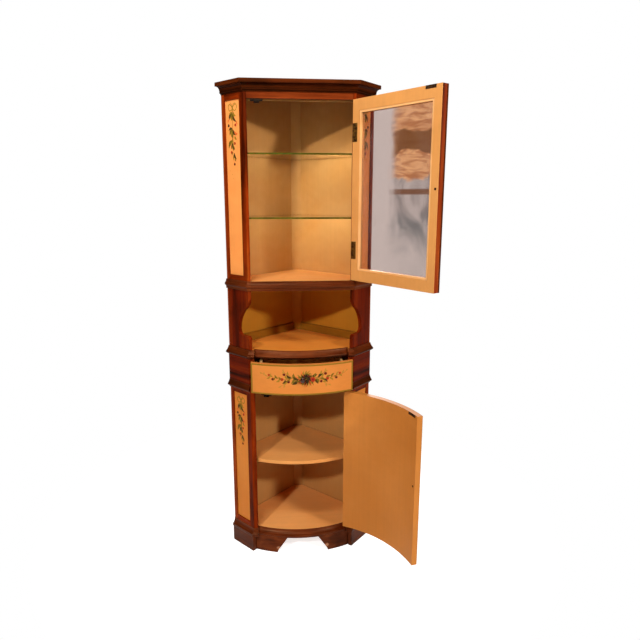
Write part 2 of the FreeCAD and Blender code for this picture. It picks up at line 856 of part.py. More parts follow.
def upper_door_strike():
    half = strike_length / 2
    return opened_upper(board(-upper_catch_x - half, half - upper_catch_x, door_inner_y,
                              door_inner_y + strike_thick, door_top_z - strike_height,
                              door_top_z))


# Hinges: two outer knuckles turn with the door, and the middle one and its pin stay

def knuckles(x, y, radius, low, height):
    """The door's bored knuckles, and the case's knuckle with the pin."""
    third = height / 3
    outer = []
    for z in (low, low + third + third):
        barrel = Part.makeCylinder(radius, third, Vector(x, y, z))
        outer.append(barrel.cut(Part.makeCylinder(pin_radius + pin_play, third,
                                                  Vector(x, y, z))))
    inner = Part.makeCylinder(radius, third - knuckle_play - knuckle_play,
                              Vector(x, y, low + third + knuckle_play))
    return outer, inner.fuse(Part.makeCylinder(pin_radius, height, Vector(x, y, low)))


def upper_door_plate(low):
    edge = door_half - notch_width
    return board(edge - leaf_width, edge, door_inner_y - leaf_thick, door_inner_y,
                 low, low + upper_hinge_height)


def upper_case_plate(low):
    edge = upper_strip_x + case_leaf_width
    return board(upper_strip_x, edge, front_y, front_y + leaf_thick,
                 low, low + upper_hinge_height)


def upper_door_hinge_leaves():
    edge = door_half - notch_width
    third = upper_hinge_height / 3
    leaves = []
    for low in upper_hinge_zs:
        outer, _ = knuckles(upper_pin_x, upper_pin_y, knuckle_radius, low, upper_hinge_height)
        leaf = upper_door_plate(low)
        bore = Part.makeCylinder(pin_radius + pin_play, upper_hinge_height,
                                 Vector(upper_pin_x, upper_pin_y, low))
        for barrel, z in zip(outer, (low, low + third + third)):
            flange = board(edge, edge + leaf_thick, upper_pin_y, door_inner_y, z, z + third)
            leaf = leaf.fuse(flange.cut(bore)).fuse(barrel)
        leaves.append(opened_upper(leaf))
    return leaves


def upper_hinge_case_leaves():
    third = upper_hinge_height / 3
    leaves = []
    for low in upper_hinge_zs:
        _, inner = knuckles(upper_pin_x, upper_pin_y, knuckle_radius, low, upper_hinge_height)
        web = board(upper_pin_x - web_thick / 2, upper_pin_x + web_thick / 2, upper_pin_y,
                    front_y, low + third + knuckle_play, low + third + third - knuckle_play)
        leaves.append(upper_case_plate(low).fuse(web).fuse(inner))
    return leaves


def lower_door_plate(low):
    edge = lower_strip_x - lower_play
    return board(edge - leaf_thick, edge, front_y, front_y + lower_leaf_depth,
                 low, low + lower_hinge_height)


def lower_case_plate(low):
    return board(lower_strip_x, lower_strip_x + leaf_thick, front_y,
                 front_y + lower_leaf_depth, low, low + lower_hinge_height)


def lower_door_hinge_leaves():
    edge = lower_strip_x - lower_play
    third = lower_hinge_height / 3
    leaves = []
    for low in lower_hinge_zs:
        outer, _ = knuckles(lower_pin_x, lower_pin_y, lower_knuckle, low, lower_hinge_height)
        bore = Part.makeCylinder(pin_radius + pin_play, lower_hinge_height,
                                 Vector(lower_pin_x, lower_pin_y, low))
        leaf = lower_door_plate(low)
        for barrel, z in zip(outer, (low, low + third + third)):
            flange = board(edge - leaf_thick, edge, lower_pin_y, front_y, z, z + third)
            leaf = leaf.fuse(flange.cut(bore)).fuse(barrel)
        leaves.append(opened_lower(leaf))
    return leaves


def lower_hinge_case_leaves():
    third = lower_hinge_height / 3
    leaves = []
    for low in lower_hinge_zs:
        _, inner = knuckles(lower_pin_x, lower_pin_y, lower_knuckle, low, lower_hinge_height)
        flange = board(lower_strip_x, lower_strip_x + leaf_thick, lower_pin_y, front_y,
                       low + third + knuckle_play, low + third + third - knuckle_play)
        leaves.append(lower_case_plate(low).fuse(flange).fuse(inner))
    return leaves


# Lower door, drawn closed

def lower_door_panel():
    """The bowed door, with its hinge edge let in for the hinge plates and knuckles."""
    edge = lower_strip_x - lower_play
    panel = bow_band(bow_inner, lower_door_outer, edge, lower_door_low_z, lower_door_top_z,
                     free_share=edge / bow_outer)
    for low in lower_hinge_zs:
        panel = panel.cut(board(edge - leaf_thick, edge, front_y - overrun,
                                front_y + lower_leaf_depth, low, low + lower_hinge_height))
        panel = panel.cut(Part.makeCylinder(lower_knuckle + knuckle_play, lower_hinge_height,
                                            Vector(lower_pin_x, lower_pin_y, low)))
    return opened_lower(panel)


def lower_door_knob():
    x = lower_knob_inset + lower_play - lower_strip_x
    outward = Vector(x, bow_y(x, bow_outer) - bow_axis_y, 0).normalize()
    axis = Vector(0, bow_axis_y, lower_knob_z)
    knob = turned(knob_shares, button_radius, button_reach,
                  axis + outward * lower_door_outer, outward)
    screw = Part.makeCylinder(screw_radius, screw_proud + strike_thick,
                              axis + outward * (bow_inner - screw_proud), outward)
    screw = screw.cut(bow_band(bow_inner - seat, bow_outer, lower_strip_x,
                               lower_door_low_z, lower_door_top_z))
    return [opened_lower(knob), opened_lower(screw)]


def lower_door_strike():
    plate = bow_band(bow_inner - seat - strike_thick, bow_inner - seat, strike_length / 2,
                     lower_door_top_z - strike_height, lower_door_top_z)
    plate.rotate(Vector(0, bow_axis_y, 0), up, -lower_catch_turn)
    return opened_lower(plate)


# Drawer, drawn closed

def within_front(piece):
    """Cut a piece of the box to meet the inner face of the drawer front."""
    return pulled(piece.common(Part.makeCylinder(
        drawer_inner - seat, total_height, Vector(0, drawer_axis_y, 0))))


def drawer_front():
    return pulled(bow_band(drawer_inner, drawer_outer, drawer_front_half,
                           drawer_front_low_z, drawer_front_top_z, drawer_axis_y))


def drawer_sides():
    return pair(within_front(board(drawer_half - drawer_board, drawer_half,
                                   drawer_axis_y - drawer_inner, drawer_rear_y,
                                   dust_top_z + drawer_side_play, drawer_side_top_z)))


def drawer_bottom():
    half = drawer_half - drawer_board
    low = dust_top_z + drawer_bottom_rise
    return within_front(board(-half, half, drawer_axis_y - drawer_inner, drawer_rear_y,
                              low, low + drawer_bottom_thick))


def drawer_back():
    half = drawer_half - drawer_board
    low = dust_top_z + drawer_bottom_rise + drawer_bottom_thick
    return pulled(board(-half, half, drawer_rear_y - drawer_board, drawer_rear_y,
                        low, drawer_side_top_z))


def drawer_knob():
    start = Vector(0, drawer_axis_y - drawer_outer, drawer_knob_z)
    return pulled(turned(knob_shares, knob_radius, knob_reach, start, Vector(0, -1, 0)))


nodes = {
    "crown_front": crown_front(),
    "crown_sides": crown_sides(),
    "top_board": top_board(),
    "frieze_rail": frieze_rail(),
    "frieze_stop": frieze_stop(),
    "upper_front_stiles": upper_front_stiles(),
    "upper_rear_stiles": rear_stiles(upper_base, case_top),
    "upper_frame_rails": side_rails(upper_base, upper_panel_low, upper_panel_high, case_top),
    "upper_side_panels": side_panels(upper_panel_low, upper_panel_high),
    "back_left": mirrored(back_panel()),
    "back_right": back_panel(),
    "corner_strip": corner_strip(),
    "upper_floor": upper_floor(),
    "glass_shelves": glass_shelves(),
    "shelf_pegs": shelf_pegs(),
    "upper_catch": upper_catch(),
    "waist_moulding_front": waist_moulding_front(),
    "waist_moulding_sides": waist_moulding_sides(),
    "niche_side_left": mirrored(niche_side()),
    "niche_side_right": niche_side(),
    "niche_skirting": niche_skirting(),
    "niche_floor": case_floor(table_base, table_z),
    "table_moulding_front": table_moulding_front(),
    "table_moulding_sides": table_moulding_sides(),
    "drawer_bay_sides": pair(bay_side()),
    "dust_board": case_floor(dust_base, dust_top_z),
    "drawer_runners": drawer_runners(),
    "sill_moulding_sides": sill_moulding_sides(),
    "lower_front_stiles": lower_front_stiles(),
    "lower_rear_stiles": rear_stiles(plinth_height, dust_base),
    "lower_frame_rails": side_rails(plinth_height, lower_panel_low, lower_panel_high, dust_base),
    "lower_side_panels": side_panels(lower_panel_low, lower_panel_high),
    "lower_shelf": inner_board(shelf_play, lower_shelf_z - lower_shelf_thick, lower_shelf_z),
    "shelf_cleats": shelf_cleats(),
    "lower_floor": inner_board(0, floor_z - floor_thick, floor_z),
    "lower_catch": lower_catch(),
    "base_moulding_front": base_moulding_front(),
    "base_moulding_sides": base_moulding_sides(),
    "base_front_board": base_front_board(),
    "base_side_boards": pair(base_side()),
    "rear_foot": rear_foot(),
    "upper_hinge_case_leaves": upper_hinge_case_leaves(),
    "lower_hinge_case_leaves": lower_hinge_case_leaves(),
    "upper_door_stiles": upper_door_stiles(),
    "upper_door_rails": upper_door_rails(),
    "upper_door_glass": upper_door_glass(),
    "upper_door_beads": upper_door_beads(),
    "upper_door_moulding": upper_door_moulding(),
    "upper_door_knob": upper_door_knob(),
    "upper_door_strike": upper_door_strike(),
    "upper_door_hinge_leaves": upper_door_hinge_leaves(),
    "lower_door_panel": lower_door_panel(),
    "lower_door_knob": lower_door_knob(),
    "lower_door_strike": lower_door_strike(),
    "lower_door_hinge_leaves": lower_door_hinge_leaves(),
    "drawer_front": drawer_front(),
    "drawer_sides": drawer_sides(),
    "drawer_back": drawer_back(),
    "drawer_bottom": drawer_bottom(),
    "drawer_knob": drawer_knob(),
}

os.makedirs("parts", exist_ok=True)
for name, shape in nodes.items():
    pieces = shape if isinstance(shape, list) else [shape]
    solids = [solid for piece in pieces for solid in piece.Solids]
    group = solids[0] if len(solids) == 1 else Part.makeCompound(solids)
    group.exportStep(os.path.join("parts", name + ".step"))
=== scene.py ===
import json
import math
import random

import bmesh
import bpy
from mathutils import Euler, Matrix, Quaternion, Vector


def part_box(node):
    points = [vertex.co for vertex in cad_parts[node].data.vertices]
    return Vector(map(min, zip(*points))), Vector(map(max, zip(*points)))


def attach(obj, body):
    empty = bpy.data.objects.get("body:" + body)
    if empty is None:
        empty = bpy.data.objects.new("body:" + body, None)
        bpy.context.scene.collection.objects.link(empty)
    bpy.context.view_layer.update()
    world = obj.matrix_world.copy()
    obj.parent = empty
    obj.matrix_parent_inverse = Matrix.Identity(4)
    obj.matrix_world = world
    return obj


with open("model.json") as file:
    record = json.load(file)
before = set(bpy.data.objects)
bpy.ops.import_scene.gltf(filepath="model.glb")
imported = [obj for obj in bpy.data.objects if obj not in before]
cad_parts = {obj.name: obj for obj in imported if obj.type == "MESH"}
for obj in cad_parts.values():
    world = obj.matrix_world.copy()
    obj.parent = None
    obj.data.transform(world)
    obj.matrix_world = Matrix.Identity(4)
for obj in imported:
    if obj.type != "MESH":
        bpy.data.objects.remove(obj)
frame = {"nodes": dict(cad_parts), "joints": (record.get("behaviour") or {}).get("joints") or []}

NODES = frame["nodes"]
JOINTS = {joint["name"]: joint for joint in frame["joints"]}
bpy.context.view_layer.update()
random.seed(7)

# Places read from the frame, in metres
FRONT_CORNER = Vector((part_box("base_front_board")[1].x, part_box("upper_front_stiles")[0].y))
WALL_CORNER = Vector((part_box("back_right")[1].x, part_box("crown_sides")[1].y))
CANT_RUN = (WALL_CORNER - FRONT_CORNER).normalized()
CANT_OUT = Vector((CANT_RUN.y, -CANT_RUN.x))
NICHE_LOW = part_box("niche_floor")[1].z
NICHE_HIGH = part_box("upper_floor")[0].z
BAY_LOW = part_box("dust_board")[1].z
PANEL_RECESS = 0.005        # from the canted frames back to their panels
PANEL_MIDDLE = 0.067        # along the cant from the front corner

# The drawer's front is a band of this thickness along an arc; its box gives the arc
DRAWER_FRONT_THICK = 0.018
DRAWER_LOW, DRAWER_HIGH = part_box("drawer_front")
DRAWER_SAG = DRAWER_HIGH.y - DRAWER_LOW.y
DRAWER_RADIUS = ((DRAWER_SAG ** 2 + DRAWER_HIGH.x ** 2 - DRAWER_FRONT_THICK ** 2)
                 / (2 * (DRAWER_SAG - DRAWER_FRONT_THICK)))
DRAWER_AXIS_Y = DRAWER_LOW.y + DRAWER_RADIUS

# The doors stand turned at rest, so their boxes give only their heights
LOWER_DOOR_LOW, LOWER_DOOR_HIGH = (corner.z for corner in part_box("lower_door_panel"))
LOWER_DOOR_RADIUS = 0.453
LOWER_DOOR_AXIS_Y = 0.062
LOWER_DOOR_HALF = 0.1855
UPPER_DOOR_HALF = 0.204
UPPER_DOOR_THICK = 0.022
UPPER_DOOR_PLAY = 0.0015    # between the shut door and the stiles

# Camera, fitted to the edges of the cabinet in the photo
CAMERA_PLACE = (-0.1175, -2.5072, 1.4696)
CAMERA_TILT, CAMERA_TURN, CAMERA_ROLL = 77.73, -5.05, 0.09
CAMERA_LENS, CAMERA_SENSOR = 31.77, 36.0

# Light
LAMPS = {                   # place, width across and power
    "key": ((-2.33, -4.2, 3.43), 0.32, 138.0),
    "right": ((2.80, -3.25, 2.78), 0.36, 108.0),
    "high": ((-0.45, -1.35, 2.62), 0.30, 14.0),
    "behind": ((1.20, 4.60, 2.90), 0.60, 120.0),
}
LAMP_AIM = (0.0, -0.3, 1.1)
FILL_STRENGTH = 0.09
FILL_COLOUR = (1.0, .54, .22)
BACKGROUND_STRENGTH = 1.0

# Softened edges
BEVEL, PANEL_BEVEL, METAL_BEVEL = 0.0008, 0.0014, 0.0003
BEVEL_STEPS = 2
BEVEL_ANGLE = 34.0          # degrees between faces, above which an edge is softened
WELD_GAP = 1e-5


def srgb(red, green, blue):
    """A colour given in display numbers up to 255, as the linear values nodes use."""
    shares = [value / 255 for value in (red, green, blue)]
    return tuple(s / 12.92 if s <= .04045 else ((s + .055) / 1.055) ** 2.4 for s in shares)


# Colours
# Stained wood: its dark, middle and light tone
STILE_TONES = srgb(56, 11, 1), srgb(138, 44, 5), srgb(174, 78, 20)
# A darker copy of the stile wood: painted shade for the niche sides and the drawer bay's sides
SHADED_STILE_TONES = srgb(38, 7, 1), srgb(106, 26, 3), srgb(140, 54, 12)
TRIM_TONES = srgb(40, 11, 1), srgb(92, 34, 7), srgb(126, 60, 24)
CROWN_TONES = srgb(24, 6, 0), srgb(70, 24, 4), srgb(92, 38, 10)
FRIEZE_TONES = srgb(72, 20, 3), srgb(122, 48, 14), srgb(160, 82, 44)
# Dark colour laid in the corners: painted shade there, with dirt
STAIN_DIRT_AND_SHADE = srgb(34, 9, 2)
# Pale rubbed edges, partly a painted highlight along them; pale chips
WORN_EDGE_SHEEN, CHIPPED = srgb(160, 94, 56), srgb(184, 130, 96)

# Paint: fresh and aged
CREAM, CREAM_AGED = srgb(188, 136, 76), srgb(180, 122, 60)
PANEL_CREAM, PANEL_AGED = srgb(254, 162, 84), srgb(252, 152, 74)
# Lower side panels: the panel cream darkened as painted shade, for the weaker light low down
SHADED_LOW_PANEL_CREAM, SHADED_LOW_PANEL_AGED = srgb(230, 140, 54), srgb(214, 122, 42)
DOOR_CREAM, DOOR_AGED = srgb(219, 151, 82), srgb(211, 142, 73)
# Beads: a paler cream as a painted highlight on their lit edges
LIT_BEAD_CREAM = srgb(250, 190, 124)
LOW_DOOR_CREAM, LOW_DOOR_AGED = srgb(208, 130, 56), srgb(192, 116, 44)
FLOOR_CREAM, FLOOR_AGED = srgb(236, 164, 92), srgb(222, 146, 74)
# Lower shelf: the floor cream darkened as painted shade, for the shadow it lies in
SHADED_LOW_SHELF_CREAM, SHADED_LOW_SHELF_AGED = srgb(230, 157, 85), srgb(214, 138, 67)
DRAWER_CREAM, DRAWER_AGED = srgb(214, 130, 56), srgb(206, 120, 48)
OCHRE = srgb(184, 124, 34)
SKIRTING, SKIRTING_AGED = srgb(150, 96, 20), srgb(126, 76, 12)
OCHRE_FLOOR, OCHRE_FLOOR_AGED = srgb(220, 136, 52), srgb(206, 118, 40)
OLIVE_LINE = srgb(128, 100, 24)
# The second of these is laid in the paint's corners: painted shade there, with dirt
PAINT_SPECK, PAINT_DIRT_AND_SHADE = srgb(120, 66, 22), srgb(120, 66, 18)

# Bare wood, glass and metal
BARE_WOOD, BARE_DARK = srgb(205, 160, 105), srgb(150, 104, 58)
BOARD_STAIN = srgb(96, 66, 38)
BOX_WOOD, BOX_DARK, BOX_PORE = srgb(222, 178, 118), srgb(168, 116, 62), srgb(120, 76, 36)
KNOB_DARK, KNOB_LIGHT = srgb(24, 10, 4), srgb(66, 28, 12)
DARK_METAL, DARK_METAL_AGED = srgb(40, 26, 12), srgb(18, 10, 4)
STRIKE_METAL, STRIKE_METAL_AGED = srgb(92, 62, 36), srgb(36, 22, 10)
BRASS, BRASS_AGED = srgb(132, 92, 36), srgb(64, 40, 14)
GLASS_EDGE_DARK, GLASS_EDGE_LIGHT = srgb(40, 46, 8), srgb(92, 92, 26)
PANE_HAZE = srgb(196, 186, 188)
# Colours of the pane's painted reflections of a room
PANE_LIGHT, PANE_DUSK, PANE_COOL = (.55, .44, .40), (.16, .12, .11), (.155, .14, .135)
PANE_PEACH, PANE_AMBER, PANE_BROWN = (.72, .34, .15), (.42, .14, .045), (.16, .05, .012)
PANE_SHADOW = (.72, .70, .70)
SHELF_GLASS, SHELF_SHADOW = (.93, .96, .90), (.93, .95, .90)


MIX_FIRST, MIX_SECOND, MIX_RESULT = 6, 7, 2     # the colour sockets of a Mix node


class Shader:
    """The node tree of a material or world, with short ways to add nodes and join them."""

    def __init__(self, name, kind="materials"):
        self.made = getattr(bpy.data, kind).new(name)
        self.made.use_nodes = True
        self.tree = self.made.node_tree
        self.tree.nodes.clear()

    def put(self, socket, value):
        if isinstance(value, bpy.types.NodeSocket):
            self.tree.links.new(value, socket)
        elif socket.type == "RGBA":
            socket.default_value = (*value[:3], 1)
        else:
            socket.default_value = value

    def node(self, kind, inputs=(), **settings):
        made = self.tree.nodes.new("ShaderNode" + kind)
        for name, value in settings.items():
            setattr(made, name, value)
        for key, value in dict(inputs).items():
            self.put(made.inputs[key], value)
        return made

    def math(self, operation, first, second=0.0):
        return self.node("Math", {0: first, 1: second}, operation=operation).outputs[0]

    def times(self, first, second):
        return self.math("MULTIPLY", first, second)

    def plus(self, first, second):
        return self.math("ADD", first, second)

    def larger(self, first, second):
        return self.math("MAXIMUM", first, second)

    def size(self, value):
        return self.math("ABSOLUTE", value)

    def mix(self, share, first, second, blend="MIX"):
        made = self.node("Mix", data_type="RGBA", blend_type=blend)
        self.put(made.inputs["Factor"], share)
        self.put(made.inputs[MIX_FIRST], first)
        self.put(made.inputs[MIX_SECOND], second)
        return made.outputs[MIX_RESULT]

    def place(self):
        """Place on the object at rest, in metres."""
        return self.node("TexCoord").outputs["Object"]

    def axes(self, vector):
        return self.node("SeparateXYZ", {0: vector}).outputs

    def vector(self, x, y, z):
        return self.node("CombineXYZ", {0: x, 1: y, 2: z}).outputs[0]

    def stretched(self, vector, scale):
        return self.node("Mapping", {"Vector": vector, "Scale": scale}).outputs[0]

    def noise(self, vector, scale, detail=3.0, rough=.55, bend=0.0):
        made = self.node("TexNoise", {"Vector": vector, "Scale": scale, "Detail": detail,
                                      "Roughness": rough, "Distortion": bend})
        return made.outputs["Fac"]

    def step(self, value, low, high, to_low=0.0, to_high=1.0):
        """A soft step: to_low below low, to_high above high."""
        made = self.node("MapRange", {"Value": value, "From Min": low, "From Max": high,
                                      "To Min": to_low, "To Max": to_high},
                         interpolation_type="SMOOTHSTEP")
        return made.outputs[0]

    def ramp(self, value, stops, colours):
        made = self.node("ValToRGB", {0: value})
        elements = made.color_ramp.elements
        while len(elements) < len(stops):
            elements.new(1.0)
        for element, place, colour in zip(elements, stops, colours):
            element.position, element.color = place, (*colour, 1)
        return made.outputs[0]

    def band(self, value, rise, fall):
        """1 between two soft steps."""
        return self.times(self.step(value, *rise), self.step(value, *fall, 1, 0))

    def bump(self, height, distance, strength=1.0):
        made = self.node("Bump", {"Height": height, "Distance": distance, "Strength": strength})
        return made.outputs[0]

    def crevice_shade_and_dirt(self, reach, soft_step):
        """How much painted shade and dirt lies in the corners, from ambient occlusion."""
        made = self.node("AmbientOcclusion", {"Distance": reach}, samples=4)
        return self.step(made.outputs["AO"], *soft_step)

    def worn_sheen_edges(self, radius, low, high):
        """1 on sharp outer edges, 0 on flat ground."""
        rounded = self.node("Bevel", {"Radius": radius}, samples=4).outputs[0]
        true = self.node("NewGeometry").outputs["Normal"]
        lined_up = self.node("VectorMath", {0: rounded, 1: true}, operation="DOT_PRODUCT")
        return self.step(lined_up.outputs["Value"], 1 - low, 1 - high)

    def surface(self, **inputs):
        named = {key.replace("_", " "): value for key, value in inputs.items()}
        made = self.node("BsdfPrincipled", named)
        self.output(made.outputs[0])
        return made

    def output(self, shader):
        self.node("OutputMaterial", {"Surface": shader})


# Places inside the shaders

def closed(shader, joint_name):
    """Place on a door as if it were shut."""
    joint = JOINTS[joint_name]
    swing = math.radians(joint["range_deg"][0])
    made = shader.node("VectorRotate", {"Vector": shader.place(), "Center": joint["pos_m"],
                                        "Angle": swing}, rotation_type="Z_AXIS")
    return made.outputs[0]


def folded(shader):
    """Place with the left half laid over the right one."""
    x, y, z = shader.axes(shader.place())
    return shader.vector(shader.size(x), y, z)


def along_cant(shader):
    """Place with X along the canted side, Y into it."""
    turn = -math.atan2(CANT_RUN.y, CANT_RUN.x)
    made = shader.node("VectorRotate", {"Vector": folded(shader), "Angle": turn,
                                        "Center": (FRONT_CORNER.x, FRONT_CORNER.y, 0)},
                       rotation_type="Z_AXIS")
    return made.outputs[0]


# Materials

WOOD_SHINE, TRIM_SHINE = 1.16, 1.4      # refractive index of the polish
# Shares of the pale rubbed edges, partly a painted highlight along them
WOOD_WEAR_AND_SHEEN, TRIM_WEAR_AND_SHEEN, CROWN_WEAR_AND_SHEEN, NICHE_WEAR_AND_SHEEN = .35, .6, .08, .3
PAINT_SHINE = 1.32
POLISH_TINT, PAINT_TINT = (1.0, .5, .25), (1.0, .8, .6)

# Wood grain and brush marks: waves in a metre along and across them
GRAIN_LONG, GRAIN_CROSS = 1.6, 42.0
GRAIN_SETTINGS = {"detail": 7, "rough": .62, "bend": .35}
FIGURE_LONG, FIGURE_CROSS = 0.9, 9.0
PORE_LONG, PORE_CROSS = 18.0, 520.0
BRUSH_LONG, BRUSH_CROSS = 2.0, 95.0
BARE_LONG, BARE_CROSS = 1.2, 30.0
BOARD_LONG, BOARD_CROSS = 0.25, 9.0

# A soft step is given as where it starts and ends, and then its values there unless they
# are 0 and 1. Waves are those in a metre.
GRAIN_SHARE, FIGURE_SHARE = .55, .45
STAIN_STOPS, FRAME_STOPS = (.38, .51, .66), (.36, .52, .68)     # dark, middle and light tone
PORE_STEP, PORE_SHARE, PORE_DEPTH = (.58, .70), .55, .6
BLOTCH_WAVES, BLOTCH_STEP = 7, (.45, .75, 0, .6)
# Reach and step of the darkening in the wood's corners: painted shade with dirt
WOOD_CREVICE, WOOD_DIRT_AND_SHADE_STEP = .012, (.2, .8, .5, 0)
# Raggedness of the pale rubbed edges, partly a painted highlight
WORN_SHEEN_WAVES, WORN_SHEEN_STEP = 60, (.42, .62)
EDGE_RADIUS, EDGE_STEP = .0016, (.02, .22)
WOOD_ROUGH_STEP = .3, .7, .34, .50
WOOD_RELIEF, PAINT_RELIEF = (.0004, .5), (.00025, .12)          # height and strength

CHIP_SIZE, CHIP_EDGE, CHIP_RAGGED = .010, .005, .020            # radius, rim and raggedness
CHIP_WAVES, CHIP_COVER = 130, .75
FOOT_CHIPS = ((-.102, .021), (.100, .024))      # x and z on the front board, by the arch


def grain(shader, place, axis, long, cross, **settings):
    """Noise drawn out along one axis."""
    scale = [cross] * 3
    scale["XYZ".index(axis)] = long
    return shader.noise(shader.stretched(place, scale), 1, **settings)


def chipped(shader, place, colour, spots):
    """Pale chips at the given x and z."""
    flat = shader.node("VectorMath", {0: place, 1: (1, 0, 1)}, operation="MULTIPLY").outputs[0]
    ragged = shader.times(shader.noise(place, CHIP_WAVES, detail=4, rough=.7), CHIP_RAGGED)
    for x, z in spots:
        gap = shader.node("VectorMath", {0: flat, 1: (x, 0, z)}, operation="DISTANCE")
        reach = shader.plus(gap.outputs["Value"], ragged)
        outer = CHIP_SIZE + CHIP_RAGGED / 2
        chip = shader.step(reach, outer - CHIP_EDGE, outer, CHIP_COVER, 0)
        colour = shader.mix(chip, colour, CHIPPED)
    return colour


# wear sets the share of pale rubbed edges, which are partly a painted highlight
def stained_wood(name, place_of, axis, tones, wear=WOOD_WEAR_AND_SHEEN, shine=WOOD_SHINE, chips=()):
    """Dark stained wood with streaks along one axis, pores, pale rubbed edges that are partly a
    painted highlight, and dirt with painted shade in corners.
    """
    shader = Shader(name)
    place = place_of(shader)
    dark = tones[0]
    streaks = grain(shader, place, axis, GRAIN_LONG, GRAIN_CROSS, **GRAIN_SETTINGS)
    figure = grain(shader, place, axis, FIGURE_LONG, FIGURE_CROSS, detail=3, bend=.8)
    pores = grain(shader, place, axis, PORE_LONG, PORE_CROSS, detail=2)
    pores = shader.step(pores, *PORE_STEP)
    blotch = shader.noise(place, BLOTCH_WAVES, detail=4)
    tone = shader.plus(shader.times(streaks, GRAIN_SHARE), shader.times(figure, FIGURE_SHARE))
    colour = shader.ramp(tone, STAIN_STOPS, tones)
    colour = shader.mix(shader.step(blotch, *BLOTCH_STEP), colour, dark)
    colour = shader.mix(shader.times(pores, PORE_SHARE), colour, dark)
    # Painted shade and dirt in the corners
    colour = shader.mix(shader.crevice_shade_and_dirt(WOOD_CREVICE, WOOD_DIRT_AND_SHADE_STEP), colour, STAIN_DIRT_AND_SHADE)
    ragged = shader.step(shader.noise(place, WORN_SHEEN_WAVES, detail=5, rough=.7), *WORN_SHEEN_STEP)
    # Pale rubbed edges, partly a painted highlight along them
    worn_sheen = shader.times(shader.worn_sheen_edges(EDGE_RADIUS, *EDGE_STEP), ragged)
    colour = shader.mix(shader.times(worn_sheen, wear), colour, WORN_EDGE_SHEEN)
    colour = chipped(shader, place, colour, chips)
    rough = shader.step(streaks, *WOOD_ROUGH_STEP)
    relief = shader.math("SUBTRACT", streaks, shader.times(pores, PORE_DEPTH))
    shader.surface(Base_Color=colour, Roughness=rough, IOR=shine, Specular_Tint=POLISH_TINT,
                   Normal=shader.bump(relief, *WOOD_RELIEF))
    return shader.made


CLOUD_WAVES, CLOUD_STEP = 3.2, (.38, .68, 0, .75)
SPECK_WAVES, SPECK_STEP, SPECK_SHARE = 260, (.70, .76), .22
STREAK_STEP = .3, .7, -.024, .024
MOTTLE_WAVES, MOTTLE_STEP = 13, (.3, .7, -.035, .035)
# Reach and step of the darkening in the paint's corners: painted shade with dirt
PAINT_CREVICE, PAINT_DIRT_AND_SHADE_STEP = .014, (.2, .9, .35, 0)
PAINT_ROUGH_STEP = .3, .7, .42, .56


def paint_layers(shader, place, colour, aged, brush_axis="Z"):
    """Old hand-brushed paint: colour, roughness and height."""
    cloud = shader.noise(place, CLOUD_WAVES, detail=4, rough=.6)
    brush = grain(shader, place, brush_axis, BRUSH_LONG, BRUSH_CROSS, detail=5, rough=.6)
    speck = shader.step(shader.noise(place, SPECK_WAVES, detail=2), *SPECK_STEP)
    colour = shader.mix(shader.step(cloud, *CLOUD_STEP), colour, aged)
    streak = shader.step(brush, *STREAK_STEP)
    mottle = shader.step(shader.noise(place, MOTTLE_WAVES, detail=4, rough=.55), *MOTTLE_STEP)
    value = shader.plus(shader.plus(streak, mottle), 1.0)
    colour = shader.node("HueSaturation", {"Color": colour, "Value": value}).outputs[0]
    colour = shader.mix(shader.times(speck, SPECK_SHARE), colour, PAINT_SPECK)
    # Painted shade and dirt in the corners
    colour = shader.mix(shader.crevice_shade_and_dirt(PAINT_CREVICE, PAINT_DIRT_AND_SHADE_STEP), colour, PAINT_DIRT_AND_SHADE)
    return colour, shader.step(cloud, *PAINT_ROUGH_STEP), brush


def painted(name, place_of, colour, aged, brush_axis="Z", zones=None):
    """Painted wood. zones may change the colour by place."""
    shader = Shader(name)
    place = place_of(shader)
    colour, rough, height = paint_layers(shader, place, colour, aged, brush_axis)
    if zones:
        colour = zones(shader, place, colour)
    shader.surface(Base_Color=colour, Roughness=rough, IOR=PAINT_SHINE, Specular_Tint=PAINT_TINT,
                   Normal=shader.bump(height, *PAINT_RELIEF))
    return shader.made


# The backs' zones of colour end this far inside the boards that part the cupboards
ZONE_LAP, BAY_LAP, ZONE_SOFT = .01, .008, .001
END_DEEP, END_SHALLOW = .0062, .0058        # the backs' stained ends
BAY_SHARE, END_SHARE = .8, .9
BARE_SHARE, BOARD_SHARE = .7, .3
BARE_STOPS = .38, .60
BARE_STAIN_WAVES, BARE_STAIN_STEP = 4, (.52, .72, 0, .35)
FACING_BACK = .3, .5        # soft step on how far a face looks back


